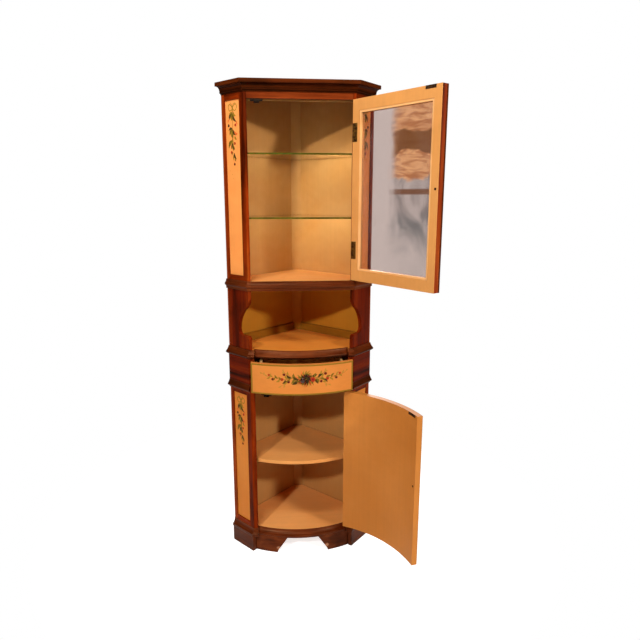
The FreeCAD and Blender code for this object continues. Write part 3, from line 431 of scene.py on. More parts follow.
def back_zones(shader, place, colour):
    """Ochre in the niche, bare wood in the drawer bay and behind, stained ends, else cream."""
    x, _, z = shader.axes(place)
    niche_low, niche_high = NICHE_LOW - ZONE_LAP, NICHE_HIGH + ZONE_LAP
    bay_low = BAY_LOW - BAY_LAP
    in_niche = shader.band(z, (niche_low, niche_low + ZONE_SOFT),
                           (niche_high - ZONE_SOFT, niche_high))
    in_bay = shader.band(z, (bay_low, bay_low + ZONE_SOFT), (niche_low - ZONE_SOFT, niche_low))
    tone = shader.mix(in_niche, (1, 1, 1), tuple(a / b for a, b in zip(OCHRE, CREAM)))
    colour = shader.mix(1.0, colour, tone, blend="MULTIPLY")
    colour = shader.mix(shader.times(in_bay, BAY_SHARE), colour, BARE_WOOD)
    streaks = grain(shader, place, "Z", BARE_LONG, BARE_CROSS, detail=7, rough=.65, bend=.5)
    board = grain(shader, place, "Z", BOARD_LONG, BOARD_CROSS, detail=0)
    figure = shader.plus(shader.times(streaks, BARE_SHARE), shader.times(board, BOARD_SHARE))
    bare = shader.ramp(figure, BARE_STOPS, (BARE_DARK, BARE_WOOD))
    stain = shader.noise(place, BARE_STAIN_WAVES, detail=5, rough=.65)
    bare = shader.mix(shader.step(stain, *BARE_STAIN_STEP), bare, BOARD_STAIN)
    facing = shader.axes(shader.node("NewGeometry").outputs["True Normal"])["Y"]
    behind = shader.step(facing, *FACING_BACK)
    end = shader.step(shader.size(x), WALL_CORNER.x - END_DEEP, WALL_CORNER.x - END_SHALLOW)
    colour = shader.mix(behind, colour, bare)
    return shader.mix(shader.times(end, END_SHARE), colour, STILE_TONES[1])


LINE_WIDTH, LINE_SOFT, LINE_COVER = 0.006, 0.0006, 0.92
FACE_DEEP, FACE_SHALLOW = .0012, .0008      # the paint of a face ends between these depths
RIM_DEEP, RIM_SHALLOW = .0006, .0002        # and the paint of an edge between these
EDGE_MARGIN, OUTSIDE_DEEP = .0004, .001


def line_round(shader, across, half, z, low, high, width):
    """1 within a painted line of this width along the four edges."""
    sides = shader.step(shader.size(across), half - width, half - width + LINE_SOFT)
    bottom = shader.step(z, low + width, low + width + LINE_SOFT, 1, 0)
    top = shader.step(z, high - width - LINE_SOFT, high - width)
    return shader.larger(sides, shader.larger(bottom, top))


def outer_face(shader, x, y, axis_y, radius):
    """1 on the outer face of a band that bows round an upright axis."""
    spoke = shader.vector(x, shader.math("SUBTRACT", y, axis_y), 0.0)
    reach = shader.node("VectorMath", {0: spoke}, operation="LENGTH").outputs["Value"]
    return shader.step(reach, radius - FACE_DEEP, radius - FACE_SHALLOW)


def drawer_zones(shader, place, colour):
    """An olive line along the edges of the drawer's face."""
    x, y, z = shader.axes(place)
    line = line_round(shader, x, DRAWER_HIGH.x, z, DRAWER_LOW.z, DRAWER_HIGH.z, LINE_WIDTH)
    below_rim = shader.step(z, DRAWER_HIGH.z - RIM_DEEP, DRAWER_HIGH.z - RIM_SHALLOW, 1, 0)
    face = outer_face(shader, x, y, DRAWER_AXIS_Y, DRAWER_RADIUS)
    share = shader.times(shader.times(line, face), below_rim)
    return shader.mix(shader.times(share, LINE_COVER), colour, OLIVE_LINE)


def lower_door_zones(shader, place, colour):
    """The same olive line on the outer face of the lower door."""
    x, y, z = shader.axes(place)
    face = outer_face(shader, x, y, LOWER_DOOR_AXIS_Y, LOWER_DOOR_RADIUS)
    line = line_round(shader, x, LOWER_DOOR_HALF, z, LOWER_DOOR_LOW, LOWER_DOOR_HIGH,
                      LINE_WIDTH)
    return shader.mix(shader.times(shader.times(line, face), LINE_COVER), colour, OLIVE_LINE)


def door_frame():
    """The upper door's frame: cream inside, stained outside and round its edges."""
    shader = Shader("upper_door_frame")
    place = closed(shader, "upper_door_hinge")
    x, y, z = shader.axes(place)
    cream, rough, height = paint_layers(shader, place, DOOR_CREAM, DOOR_AGED)
    streaks = grain(shader, place, "Z", GRAIN_LONG, GRAIN_CROSS, **GRAIN_SETTINGS)
    stain = shader.ramp(streaks, FRAME_STOPS, STILE_TONES)
    low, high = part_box("upper_door_stiles")
    inner_y = FRONT_CORNER.y - UPPER_DOOR_PLAY
    inner = shader.step(y, inner_y - FACE_DEEP, inner_y - FACE_SHALLOW)
    sides = shader.step(shader.size(x), UPPER_DOOR_HALF - RIM_DEEP, UPPER_DOOR_HALF - EDGE_MARGIN)
    top = shader.step(z, high.z - RIM_DEEP, high.z - EDGE_MARGIN)
    bottom = shader.step(z, low.z + EDGE_MARGIN, low.z + RIM_DEEP, 1, 0)
    outer_edge = shader.larger(sides, shader.larger(top, bottom))
    face_y = inner_y - UPPER_DOOR_THICK
    outside = shader.step(y, face_y + RIM_DEEP, face_y + OUTSIDE_DEEP, 1, 0)
    edge_only = shader.times(outer_edge, shader.math("SUBTRACT", 1.0, inner))
    stained = shader.larger(edge_only, outside)
    colour = shader.mix(stained, cream, stain)
    shader.surface(Base_Color=colour, Roughness=rough, IOR=PAINT_SHINE, Specular_Tint=PAINT_TINT,
                   Normal=shader.bump(height, *PAINT_RELIEF))
    return shader.made


# Soft steps of the pane's painted reflections, in metres up or across: the first place and the last
PANE_FREE_SIDE = .12, .05
PANE_COOL_TOP = 1.50, 1.42
PANE_DEEP_FOOT = 1.24, 1.40
PANE_WARM_FOOT = 1.585, 1.60
PANE_BEAM = (1.665, 1.675), (1.735, 1.75)
PANE_RAIL = (1.476, 1.482), (1.494, 1.50)
GLASS_INDEX = 1.45


def pane():
    """An old window pane: grey-lilac, with painted soft warm and dark reflections of a room in its
    colour.
    """
    shader = Shader("pane_painted_reflections")
    place = closed(shader, "upper_door_hinge")
    x, _, z = shader.axes(place)
    cloud = shader.noise(shader.stretched(place, (5, 5, 3)), 1, detail=3, rough=.5, bend=1.2)
    free_side = shader.step(shader.plus(x, shader.times(cloud, .16)), *PANE_FREE_SIDE)
    fine = shader.noise(shader.stretched(place, (7, 7, 6)), 1, detail=3, bend=.8)
    low = shader.step(shader.plus(z, shader.times(fine, .1)), *PANE_COOL_TOP)
    # Painted dark and cool reflections, darker on the free side
    grey = shader.mix(low, PANE_DUSK, PANE_COOL)
    deep = shader.times(free_side, shader.step(fine, .35, .6, 1, .25))
    deep = shader.times(deep, shader.step(z, *PANE_DEEP_FOOT, .2, 1))
    reflection_tint = shader.mix(deep, PANE_LIGHT, grey)
    tilt = shader.plus(z, shader.times(fine, .12))
    upper = shader.times(free_side, shader.step(tilt, *PANE_WARM_FOOT))
    streaks = shader.noise(shader.stretched(place, (12, 12, 46)), 1, detail=5, rough=.6,
                           bend=.7)
    # Painted warm reflections high on the free side, and brown bars of a reflected room
    warm = shader.mix(shader.step(streaks, .38, .62), PANE_PEACH, PANE_AMBER)
    reflection_tint = shader.mix(shader.times(upper, .95), reflection_tint, warm)
    beam, rail = shader.band(tilt, *PANE_BEAM), shader.band(z, *PANE_RAIL)
    bars = shader.times(shader.larger(beam, rail), free_side)
    reflection_tint = shader.mix(shader.times(bars, .90), reflection_tint, PANE_BROWN)
    wave = shader.noise(place, 9, detail=1)
    glass = shader.node("BsdfPrincipled", {
        "Base Color": reflection_tint, "Roughness": .03, "IOR": GLASS_INDEX, "Transmission Weight": 1.0,
        "Normal": shader.bump(wave, .004, .25)})
    haze = shader.node("BsdfDiffuse", {"Color": PANE_HAZE})
    see = shader.node("MixShader", {0: shader.step(cloud, .3, .75, .01, .05),
                                    1: glass.outputs[0], 2: haze.outputs[0]})
    clear = shader.node("BsdfTransparent", {"Color": PANE_SHADOW})
    ray = shader.node("LightPath").outputs["Is Shadow Ray"]
    whole = shader.node("MixShader", {0: ray, 1: see.outputs[0], 2: clear.outputs[0]})
    shader.output(whole.outputs[0])
    return shader.made


def shelf_glass():
    """Clear shelf glass with dark green cut edges."""
    shader = Shader("shelf_glass")
    normal = shader.axes(shader.node("NewGeometry").outputs["True Normal"])["Z"]
    flat = shader.step(shader.size(normal), .4, .6)
    clear = shader.node("BsdfPrincipled", {
        "Base Color": SHELF_GLASS, "Roughness": .01, "IOR": GLASS_INDEX,
        "Transmission Weight": 1.0})
    smear = shader.noise(shader.place(), 40, detail=4)
    edge_colour = shader.ramp(smear, (.3, .7), (GLASS_EDGE_DARK, GLASS_EDGE_LIGHT))
    edge = shader.node("BsdfPrincipled", {
        "Base Color": edge_colour, "Roughness": .12, "Specular IOR Level": .5})
    see = shader.node("MixShader", {0: flat, 1: edge.outputs[0], 2: clear.outputs[0]})
    through = shader.node("BsdfTransparent", {"Color": SHELF_SHADOW})
    ray = shader.node("LightPath").outputs["Is Shadow Ray"]
    whole = shader.node("MixShader", {0: ray, 1: see.outputs[0], 2: through.outputs[0]})
    shader.output(whole.outputs[0])
    return shader.made


def metal(name, colour, aged, rough):
    """Old metal with stains and fine scratches."""
    shader = Shader(name)
    place = shader.place()
    stain = shader.noise(place, 90, detail=5, rough=.65)
    scratch = shader.noise(shader.stretched(place, (60, 60, 900)), 1, detail=3)
    tone = shader.mix(shader.step(stain, .4, .62), colour, aged)
    shader.surface(Base_Color=tone, Metallic=.85,
                   Roughness=shader.step(stain, .3, .7, rough, rough + .25),
                   Normal=shader.bump(scratch, .0001, .4))
    return shader.made


def knob_finish():
    """Dark polished turned wood."""
    shader = Shader("knob_wood")
    place = shader.place()
    rings = shader.noise(shader.stretched(place, (60, 60, 420)), 1, detail=4, rough=.6)
    colour = shader.ramp(rings, (.35, .6), (KNOB_DARK, KNOB_LIGHT))
    shader.surface(Base_Color=colour, Roughness=.2, Specular_IOR_Level=.4, Coat_Weight=.5,
                   Coat_Roughness=.08, Normal=shader.bump(rings, .0002, .3))
    return shader.made


def bare_wood():
    """Unpainted pale boards of the drawer."""
    shader = Shader("bare_wood")
    place = shader.place()
    streaks = shader.noise(shader.stretched(place, (30, 3, 55)), 1, detail=6, rough=.6, bend=.4)
    pores = shader.step(shader.noise(shader.stretched(place, (300, 14, 500)), 1), .6, .7)
    colour = shader.ramp(streaks, (.35, .65), (BOX_DARK, BOX_WOOD))
    colour = shader.mix(shader.times(pores, .4), colour, BOX_PORE)
    shader.surface(Base_Color=colour, Roughness=.62, Specular_IOR_Level=.2,
                   Normal=shader.bump(streaks, .0004, .5))
    return shader.made


def stroke_paint(name, colour):
    """Brushed oil colour of the painted flowers."""
    shader = Shader("stroke_" + name)
    place = shader.place()
    drag = shader.noise(place, 420, detail=4, rough=.6)
    pale = tuple(min(1, c * 1.5 + .01) for c in colour)
    tone = shader.ramp(drag, (.3, .75), (colour, pale))
    shader.surface(Base_Color=tone, Roughness=.6, IOR=1.25, Specular_Tint=(1.0, .7, .4),
                   Normal=shader.bump(drag, .0002, .5))
    return shader.made


# The carried-over pieces: finish and softened edges

def soften(piece, width=BEVEL):
    """Round the sharp edges a little, as paint and wear do."""
    piece.modifiers.new("Weld", "WELD").merge_threshold = WELD_GAP
    bevel = piece.modifiers.new("Bevel", "BEVEL")
    bevel.width, bevel.segments = width, BEVEL_STEPS
    bevel.limit_method, bevel.angle_limit = "ANGLE", math.radians(BEVEL_ANGLE)
    bevel.miter_outer = "MITER_ARC"
    piece.modifiers.new("WeightedNormal", "WEIGHTED_NORMAL").keep_sharp = False


def finish(material, *names, width=BEVEL):
    """Give nodes a material and, where width isn't 0, softened edges."""
    for name in names:
        piece = NODES[name]
        for slot in piece.material_slots:
            slot.material = material
        if width:
            soften(piece, width)


def upper_closed(shader):
    """Place on the upper door as if it were shut."""
    return closed(shader, "upper_door_hinge")


def lower_closed(shader):
    """Place on the lower door as if it were shut."""
    return closed(shader, "lower_door_hinge")


def finish_all():
    """Every node of the frame gets its finish here."""
    plain = Shader.place
    finish(stained_wood("stile_wood", plain, "Z", STILE_TONES), "upper_front_stiles",
           "upper_rear_stiles", "lower_front_stiles", "lower_rear_stiles", "rear_foot")
    # Niche sides: stile wood darkened as painted shade
    finish(stained_wood("niche_wood_shaded", plain, "Z", SHADED_STILE_TONES, wear=NICHE_WEAR_AND_SHEEN), "niche_side_left",
           "niche_side_right")
    finish(stained_wood("front_wood", plain, "X", STILE_TONES), "dust_board", "top_board")
    finish(stained_wood("frieze_wood", plain, "X", FRIEZE_TONES), "frieze_rail")
    finish(stained_wood("front_crown", plain, "X", CROWN_TONES, wear=CROWN_WEAR_AND_SHEEN), "crown_front")
    finish(stained_wood("side_crown", along_cant, "X", CROWN_TONES, wear=CROWN_WEAR_AND_SHEEN), "crown_sides")
    finish(stained_wood("front_trim", plain, "X", TRIM_TONES, wear=TRIM_WEAR_AND_SHEEN, shine=TRIM_SHINE),
           "waist_moulding_front", "table_moulding_front", "base_moulding_front")
    finish(stained_wood("foot_wood", plain, "X", TRIM_TONES, wear=TRIM_WEAR_AND_SHEEN, shine=TRIM_SHINE,
                        chips=FOOT_CHIPS), "base_front_board")
    finish(stained_wood("side_wood", along_cant, "X", STILE_TONES), "upper_frame_rails",
           "lower_frame_rails")
    # Drawer bay sides: stile wood darkened as painted shade
    finish(stained_wood("bay_wood_shaded", along_cant, "X", SHADED_STILE_TONES), "drawer_bay_sides")
    finish(stained_wood("side_trim", along_cant, "X", TRIM_TONES, wear=TRIM_WEAR_AND_SHEEN, shine=TRIM_SHINE),
           "waist_moulding_sides", "table_moulding_sides", "sill_moulding_sides",
           "base_moulding_sides", "base_side_boards")
    finish(stained_wood("door_trim", upper_closed, "Z", TRIM_TONES), "upper_door_moulding")
    cream = painted("cream_paint_upright", plain, CREAM, CREAM_AGED)
    finish(cream, "frieze_stop", "shelf_cleats", width=0)
    finish(painted("cream_paint_panels", plain, PANEL_CREAM, PANEL_AGED), "upper_side_panels",
           width=0)
    # Lower side panels: darker cream as painted shade
    finish(painted("cream_paint_low_panels_shaded", plain, SHADED_LOW_PANEL_CREAM, SHADED_LOW_PANEL_AGED),
           "lower_side_panels", width=0)
    finish(painted("cream_paint_backs", plain, CREAM, CREAM_AGED, zones=back_zones),
           "back_left", "back_right", "corner_strip")
    finish(painted("cream_paint_floors", plain, FLOOR_CREAM, FLOOR_AGED, brush_axis="X"),
           "upper_floor", "lower_floor")
    # Lower shelf: darker cream as painted shade
    finish(painted("cream_paint_low_shelf_shaded", plain, SHADED_LOW_SHELF_CREAM, SHADED_LOW_SHELF_AGED,
                   brush_axis="X"), "lower_shelf")
    finish(painted("ochre_paint_floor", plain, OCHRE_FLOOR, OCHRE_FLOOR_AGED, brush_axis="X"),
           "niche_floor")
    finish(painted("ochre_paint_skirting", plain, SKIRTING, SKIRTING_AGED), "niche_skirting")
    finish(door_frame(), "upper_door_stiles", "upper_door_rails")
    # Beads: paler cream as a painted highlight
    finish(painted("cream_paint_beads_highlit", upper_closed, LIT_BEAD_CREAM, DOOR_CREAM),
           "upper_door_beads")
    finish(painted("cream_paint_lower_door", lower_closed, LOW_DOOR_CREAM, LOW_DOOR_AGED,
                   zones=lower_door_zones), "lower_door_panel", width=PANEL_BEVEL)
    finish(painted("cream_paint_drawer", plain, DRAWER_CREAM, DRAWER_AGED, brush_axis="X",
                   zones=drawer_zones), "drawer_front")
    finish(pane(), "upper_door_glass", width=0)
    finish(shelf_glass(), "glass_shelves", width=0)
    finish(bare_wood(), "drawer_sides", "drawer_back", "drawer_bottom", "drawer_runners")
    finish(metal("dark_metal", DARK_METAL, DARK_METAL_AGED, .5), "upper_catch",
           "lower_catch", "shelf_pegs", width=METAL_BEVEL)
    finish(metal("strike_metal", STRIKE_METAL, STRIKE_METAL_AGED, .45),
           "upper_door_strike", "lower_door_strike", width=METAL_BEVEL)
    finish(metal("aged_brass", BRASS, BRASS_AGED, .4),
           "upper_hinge_case_leaves", "lower_hinge_case_leaves", "upper_door_hinge_leaves",
           "lower_door_hinge_leaves", width=METAL_BEVEL)
    finish(knob_finish(), "upper_door_knob", "lower_door_knob", "drawer_knob", width=0)


# Painted flowers: strokes laid on a face, in millimetres across and up

STROKE_COLOURS = {
    "gold": srgb(138, 106, 26), "olive": srgb(106, 82, 14), "leaf": srgb(58, 44, 8),
    "pale": srgb(164, 116, 42), "red": srgb(150, 36, 14), "wine": srgb(84, 14, 8),
    "black": srgb(30, 14, 6), "rose": srgb(204, 92, 40),
}
stroke_materials = {name: stroke_paint(name, colour)
                    for name, colour in STROKE_COLOURS.items()}
MM = .001
STROKE_LIFT = .00008        # edge of a stroke above the face
STROKE_CROWN = .00020       # its middle
STROKE_STEP = .0000015      # each later stroke lies a little higher


class Brush:
    """Flat brush strokes gathered into one mesh on a face. place(x, z, lift) gives a point."""

    def __init__(self, name, place):
        self.name, self.place = name, place
        self.shape, self.count = bmesh.new(), 0
        self.colours = list(STROKE_COLOURS)

    def patch(self, outline, middle, colour):
        """A fan of faces round a raised middle."""
        self.count += 1
        lift = STROKE_LIFT + self.count * STROKE_STEP
        ring = [self.shape.verts.new(self.place(x * MM, z * MM, lift)) for x, z in outline]
        crown = lift - STROKE_LIFT + STROKE_CROWN
        heart = self.shape.verts.new(self.place(middle[0] * MM, middle[1] * MM, crown))
        for first, second in zip(ring, ring[1:] + ring[:1]):
            face = self.shape.faces.new((first, second, heart))
            face.material_index, face.smooth = self.colours.index(colour), True

    def dot(self, x, z, radius, colour, tall=1.0, steps=14):
        turns = [2 * math.pi * k / steps for k in range(steps)]
        wobble = [1 + .12 * (random.random() - .5) for _ in turns]
        self.patch([(x + radius * w * math.cos(t), z + radius * tall * w * math.sin(t))
                    for t, w in zip(turns, wobble)], (x, z), colour)

    def leaf(self, x, z, angle, length, width, colour, curl=.15, steps=7):
        """A pointed leaf from (x, z) at an angle in degrees, 90 being up."""
        along = Vector((math.cos(math.radians(angle)), math.sin(math.radians(angle))))
        aside = Vector((-along.y, along.x))
        spine = [(k / steps, math.sin(math.pi * (k / steps) ** .8)) for k in range(steps + 1)]

        def at(share, side):
            bow = aside * (curl * length * math.sin(math.pi * share))
            spot = Vector((x, z)) + along * (length * share) + bow + aside * side
            return spot.x, spot.y
        right = [at(s, w * width / 2) for s, w in spine]
        left = [at(s, -w * width / 2) for s, w in spine[1:-1]]
        self.patch(right + left[::-1], at(.5, 0), colour)

    def line(self, points, width, colour, taper=.35, steps=8):
        """A thin curved line through the points, thinner at its end."""
        spots = smooth_path([Vector(p) for p in points], steps)
        self.count += 1
        lift = STROKE_LIFT + self.count * STROKE_STEP
        rows = []
        for k, spot in enumerate(spots):
            ahead = spots[min(k + 1, len(spots) - 1)] - spots[max(k - 1, 0)]
            aside = Vector((-ahead.y, ahead.x)).normalized()
            half = width / 2 * (1 - (1 - taper) * k / (len(spots) - 1))
            rows.append([self.shape.verts.new(self.place(p.x * MM, p.y * MM, lift + up))
                         for p, up in ((spot + aside * half, 0), (spot, STROKE_CROWN / 2),
                                       (spot - aside * half, 0))])
        for first, second in zip(rows, rows[1:]):
            for a in (0, 1):
                face = self.shape.faces.new((first[a], second[a], second[a + 1], first[a + 1]))
                face.material_index, face.smooth = self.colours.index(colour), True

    def done(self, body):
        """Make the object, turn its faces outward and let it ride on its body."""
        bmesh.ops.recalc_face_normals(self.shape, faces=self.shape.faces)
        mesh = bpy.data.meshes.new(self.name)
        self.shape.to_mesh(mesh)
        for colour in self.colours:
            mesh.materials.append(stroke_materials[colour])
        piece = bpy.data.objects.new(self.name, mesh)
        bpy.context.scene.collection.objects.link(piece)
        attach(piece, body)
        return piece


def smooth_path(points, steps):
    """Points along a Catmull-Rom curve through the given ones."""
    padded = [points[0] * 2 - points[1]] + points + [points[-1] * 2 - points[-2]]
    path = []
    for a, b, c, d in zip(padded, padded[1:], padded[2:], padded[3:]):
        for k in range(steps):
            t = k / steps
            path.append(((b * 2) + (c - a) * t + (a * 2 - b * 5 + c * 4 - d) * t * t
                         + (b * 3 - a - c * 3 + d) * t ** 3) / 2)
    return path + [points[-1]]


def cant_face(side):
    """Places on the cream panels of a canted side: across to the back, up, and out."""
    def place(x, z, lift):
        along = PANEL_MIDDLE + x
        spot = FRONT_CORNER + CANT_RUN * along + CANT_OUT * (lift - PANEL_RECESS)
        return Vector((side * spot.x, spot.y, z))
    return place


def drawer_face(x, z, lift):
    """Places on the drawer's bowed face."""
    turn = x / DRAWER_RADIUS
    reach = DRAWER_RADIUS + lift
    return Vector((math.sin(turn) * reach, DRAWER_AXIS_Y - math.cos(turn) * reach, z))


def lower_door_face(x, z, lift):
    """Places on the outer face of the lower door as it stands open at rest."""
    joint = JOINTS["lower_door_hinge"]
    pin = Vector(joint["pos_m"])
    turn = x / LOWER_DOOR_RADIUS
    reach = LOWER_DOOR_RADIUS + lift
    shut = Vector((math.sin(turn) * reach, LOWER_DOOR_AXIS_Y - math.cos(turn) * reach, z))
    swing = Matrix.Rotation(math.radians(-joint["range_deg"][0]), 3, "Z")
    return pin + swing @ (shut - pin)


# One half of a ribbon bow: points in millimetres from its knot, width, colour and taper
BOW_RIBBONS = (
    (((0, 0), (7, 9), (18, 14), (24, 4), (17, -8), (6, -6), (0, 0)), 3.8, "gold", .8),
    (((0, 2), (6, 15), (14, 17), (9, 22)), 2.6, "olive", .35),
    (((0, -2), (4, -12), (10, -20)), 3.0, "gold", .35),
)
BOW_KNOT = 3.4


def ribbon_bow(brush, x, z, size):
    """Two open loops, a knot and two loose ends."""
    for side in (-1, 1):
        for points, width, colour, taper in BOW_RIBBONS:
            brush.line([(x + side * a * size, z + b * size) for a, b in points],
                       width * size, colour, taper)
    brush.dot(x, z - size, BOW_KNOT * size, "olive")


# The hanging spray, in millimetres across and down from its top. Leaves: where they start,
# their angle, length, width and colour. Berries: their place, radius and colour.
SPRAY_STEM = (0, 36), (2, 70), (4, 110), (2, 150), (4, 190), (-2, 222)
SPRAY_LEAVES = (
    (3, 40, -40, 22, 8, "gold"), (1, 40, -142, 22, 8, "gold"),
    (3, 50, -86, 20, 8, "gold"), (2, 104, -72, 24, 8, "gold"),
    (3, 130, -100, 20, 7, "gold"), (3, 144, -40, 20, 7, "gold"),
    (1, 150, -98, 26, 8, "olive"), (0, 192, -95, 18, 6, "gold"),
    (4, 40, -58, 30, 9, "leaf"), (4, 42, -128, 40, 9, "leaf"),
    (2, 44, -72, 24, 7, "olive"), (2, 44, -108, 26, 7, "olive"),
    (22, 64, -60, 14, 5, "rose"), (-20, 72, -120, 14, 5, "rose"),
    (2, 98, -52, 28, 9, "olive"), (2, 100, -128, 26, 9, "leaf"),
    (4, 96, -20, 22, 7, "leaf"), (-6, 108, -150, 18, 7, "rose"),
    (0, 112, -88, 22, 8, "olive"), (-8, 124, -130, 17, 7, "gold"),
    (4, 138, -52, 36, 11, "olive"), (2, 148, -70, 24, 6, "leaf"),
    (0, 158, -118, 16, 6, "leaf"), (-2, 184, -122, 26, 8, "leaf"),
    (4, 180, -66, 14, 5, "olive"), (-10, 200, -100, 16, 5, "olive"),
)
SPRAY_BERRIES = (
    (25, 86, 5.6, "black"), (-14, 86, 5.4, "red"), (-8, 151, 5.4, "red"),
    (12, 182, 5.4, "red"), (-4, 225, 5.2, "wine"), (-20, 118, 4.4, "rose"),
)
SPRAY_SPECKS = (24, 104), (22, 249), (11, 262), (5, 278)
STEM_WIDTH, TWIG_WIDTH, SIDE_WIDTH = 2.4, 1.8, 1.5
SPRAY_LONG, SPRAY_WIDE = 1.1, 1.25          # leaves drawn fuller than in the tables
BRANCH_LONG, BRANCH_WIDE = 1.12, 1.2
SPECK_RADIUS = 1.5
# A berry's light spot: to the left of its middle, above it, and its radius
SPRAY_LIGHT, BRANCH_LIGHT = (1.4, 1.6, 1.3), (1.2, 1.4, 1.2)


def hanging_spray(brush, z, size):
    """The trail of leaves and berries that hangs from a bow on the canted panels."""
    def at(x, drop):
        return x * size, z - drop * size
    ribbon_bow(brush, *at(1, 26), size)
    brush.line([at(*p) for p in SPRAY_STEM], STEM_WIDTH, "olive")
    for x, drop, angle, length, width, colour in SPRAY_LEAVES:
        brush.leaf(*at(x, drop), angle, length * size * SPRAY_LONG, width * size * SPRAY_WIDE,
                   colour)
    left, above, light = SPRAY_LIGHT
    for x, drop, radius, colour in SPRAY_BERRIES:
        brush.dot(*at(x, drop), radius * size, colour)
        brush.dot(x * size - left, z - drop * size + above, light * size, "rose")
    for x, drop in SPRAY_SPECKS:
        brush.dot(*at(x, drop), SPECK_RADIUS * size, "pale")


# The rosette's rings of leaves: colours, count, reach and width; then its dark heart
ROSETTE_LEAVES = (
    (("pale", "gold", "rose", "olive"), 30, 46, 7),
    (("olive", "red", "gold", "leaf"), 30, 38, 8),
    (("leaf", "wine", "olive", "red", "leaf"), 26, 30, 8),
)
ROSETTE_HEART = (14, 19, "black"), (10, 13, "leaf"), (7, 8, "black")
ROSETTE_FLAT = .28          # how much lower than wide it is
ROSETTE_STRAY = 8           # degrees that a leaf may stand off its place
ROSETTE_REACH = .72, 1.0    # shortest and longest leaf
ROSETTE_BUTTON = 3
HEART_TURN = 17             # degrees from one ring of the heart to the next
HEART_WIDTH = 7
FLOWER_PLACE = 24, -2       # the red flower, from the rosette's middle
FLOWER_PETALS, PETAL_LONG, PETAL_WIDE, FLOWER_BUTTON = 9, 10, 7, 4


def rosette(brush, x, z, size):
    """A dark many-leaved flower head with a red flower beside it."""
    for colours, count, reach, width in ROSETTE_LEAVES:
        for k in range(count):
            angle = 360 * k / count + random.uniform(-ROSETTE_STRAY, ROSETTE_STRAY)
            flat = 1 - ROSETTE_FLAT * abs(math.sin(math.radians(angle)))
            length = random.uniform(*ROSETTE_REACH) * reach * size * flat
            brush.leaf(x, z, angle, length, width * size, colours[k % len(colours)])
    flower = x + FLOWER_PLACE[0] * size, z + FLOWER_PLACE[1] * size
    for k in range(FLOWER_PETALS):
        turn = 360 * k / FLOWER_PETALS
        brush.leaf(*flower, turn, PETAL_LONG * size, PETAL_WIDE * size, "red")
    brush.dot(*flower, FLOWER_BUTTON * size, "wine")
    for ring, (count, reach, colour) in enumerate(ROSETTE_HEART):
        for k in range(count):
            angle = 360 * k / count + HEART_TURN * ring
            brush.leaf(x, z, angle, reach * size, HEART_WIDTH * size, colour)
    brush.dot(x, z, ROSETTE_BUTTON * size, "gold")


# The branch beside the rosette, in millimetres across and up from the rosette's middle
BRANCH_STEMS = (
    (((12, 0), (45, 6), (80, 0), (112, 8), (140, 12), (158, 20)), TWIG_WIDTH, "olive"),
    (((40, 5), (60, 18), (78, 30)), SIDE_WIDTH, "olive"),
    (((52, 4), (68, -12), (88, -24)), SIDE_WIDTH, "gold"),
)
BRANCH_LEAVES = (
    (24, 0, 40, 26, 9, "leaf"), (26, 0, -38, 26, 9, "leaf"), (34, 4, 70, 20, 7, "olive"),
    (40, 4, -60, 20, 8, "olive"), (48, 6, 35, 22, 8, "leaf"), (54, 4, -30, 22, 7, "olive"),
    (62, 2, 60, 18, 6, "gold"), (70, 0, -48, 18, 6, "leaf"), (78, 0, 30, 20, 7, "olive"),
    (92, 2, -40, 16, 6, "gold"), (98, 4, 48, 17, 6, "olive"), (108, 7, -30, 16, 5, "olive"),
    (118, 9, 50, 15, 5, "gold"), (128, 11, -34, 15, 5, "gold"), (140, 13, 38, 13, 4, "pale"),
    (60, 18, 80, 13, 5, "gold"), (70, 25, 20, 14, 5, "pale"), (76, 29, 75, 11, 4, "pale"),
    (66, -10, -20, 13, 5, "gold"), (76, -17, -80, 13, 5, "pale"),
    (86, -23, -25, 12, 4, "pale"), (148, 16, 80, 10, 4, "pale"),
    (157, 20, 30, 10, 4, "pale"), (122, 10, 80, 12, 4, "pale"),
)
BRANCH_BERRIES = (
    (76, 20, 5.4, "wine"), (84, 1, 5.6, "red"), (60, -8, 5.2, "wine"),
    (118, 1, 5.0, "wine"), (132, 16, 4.4, "red"),
)


def side_branch(brush, x, z, way, size):
    """A trail of leaves and berries to one side of the rosette."""
    def at(across, above):
        return x + way * across * size, z + above * size
    for stem, width, colour in BRANCH_STEMS:
        brush.line([at(*p) for p in stem], width, colour)
    for across, above, angle, length, width, colour in BRANCH_LEAVES:
        facing = angle if way > 0 else 180 - angle
        brush.leaf(*at(across, above), facing, length * size * BRANCH_LONG,
                   width * size * BRANCH_WIDE, colour)
    left, up, light = BRANCH_LIGHT
    for across, above, radius, colour in BRANCH_BERRIES:
        brush.dot(*at(across, above), radius * size, colour)
        brush.dot(x + way * across * size - left, z + above * size + up, light * size, "rose")


# Where the paintings lie, in millimetres: tops from the floor, the rest from a face's middle
UPPER_SPRAY_TOP, LOWER_SPRAY_TOP = 1815, 676
UPPER_SPRAY_SIZE, LOWER_SPRAY_SIZE = 1.0, 0.94
DRAWER_BRANCH_PLACE, DRAWER_BRANCH_SIZE = (8, 2), 1.06
DRAWER_ROSETTE_PLACE, DRAWER_ROSETTE_SIZE = (12, 4), 1.12
DOOR_BOW_RISE, DOOR_BOW_SIZE = 95, 1.2
DOOR_BRANCH_SIZE, DOOR_ROSETTE_SIZE = 0.9, 1.15


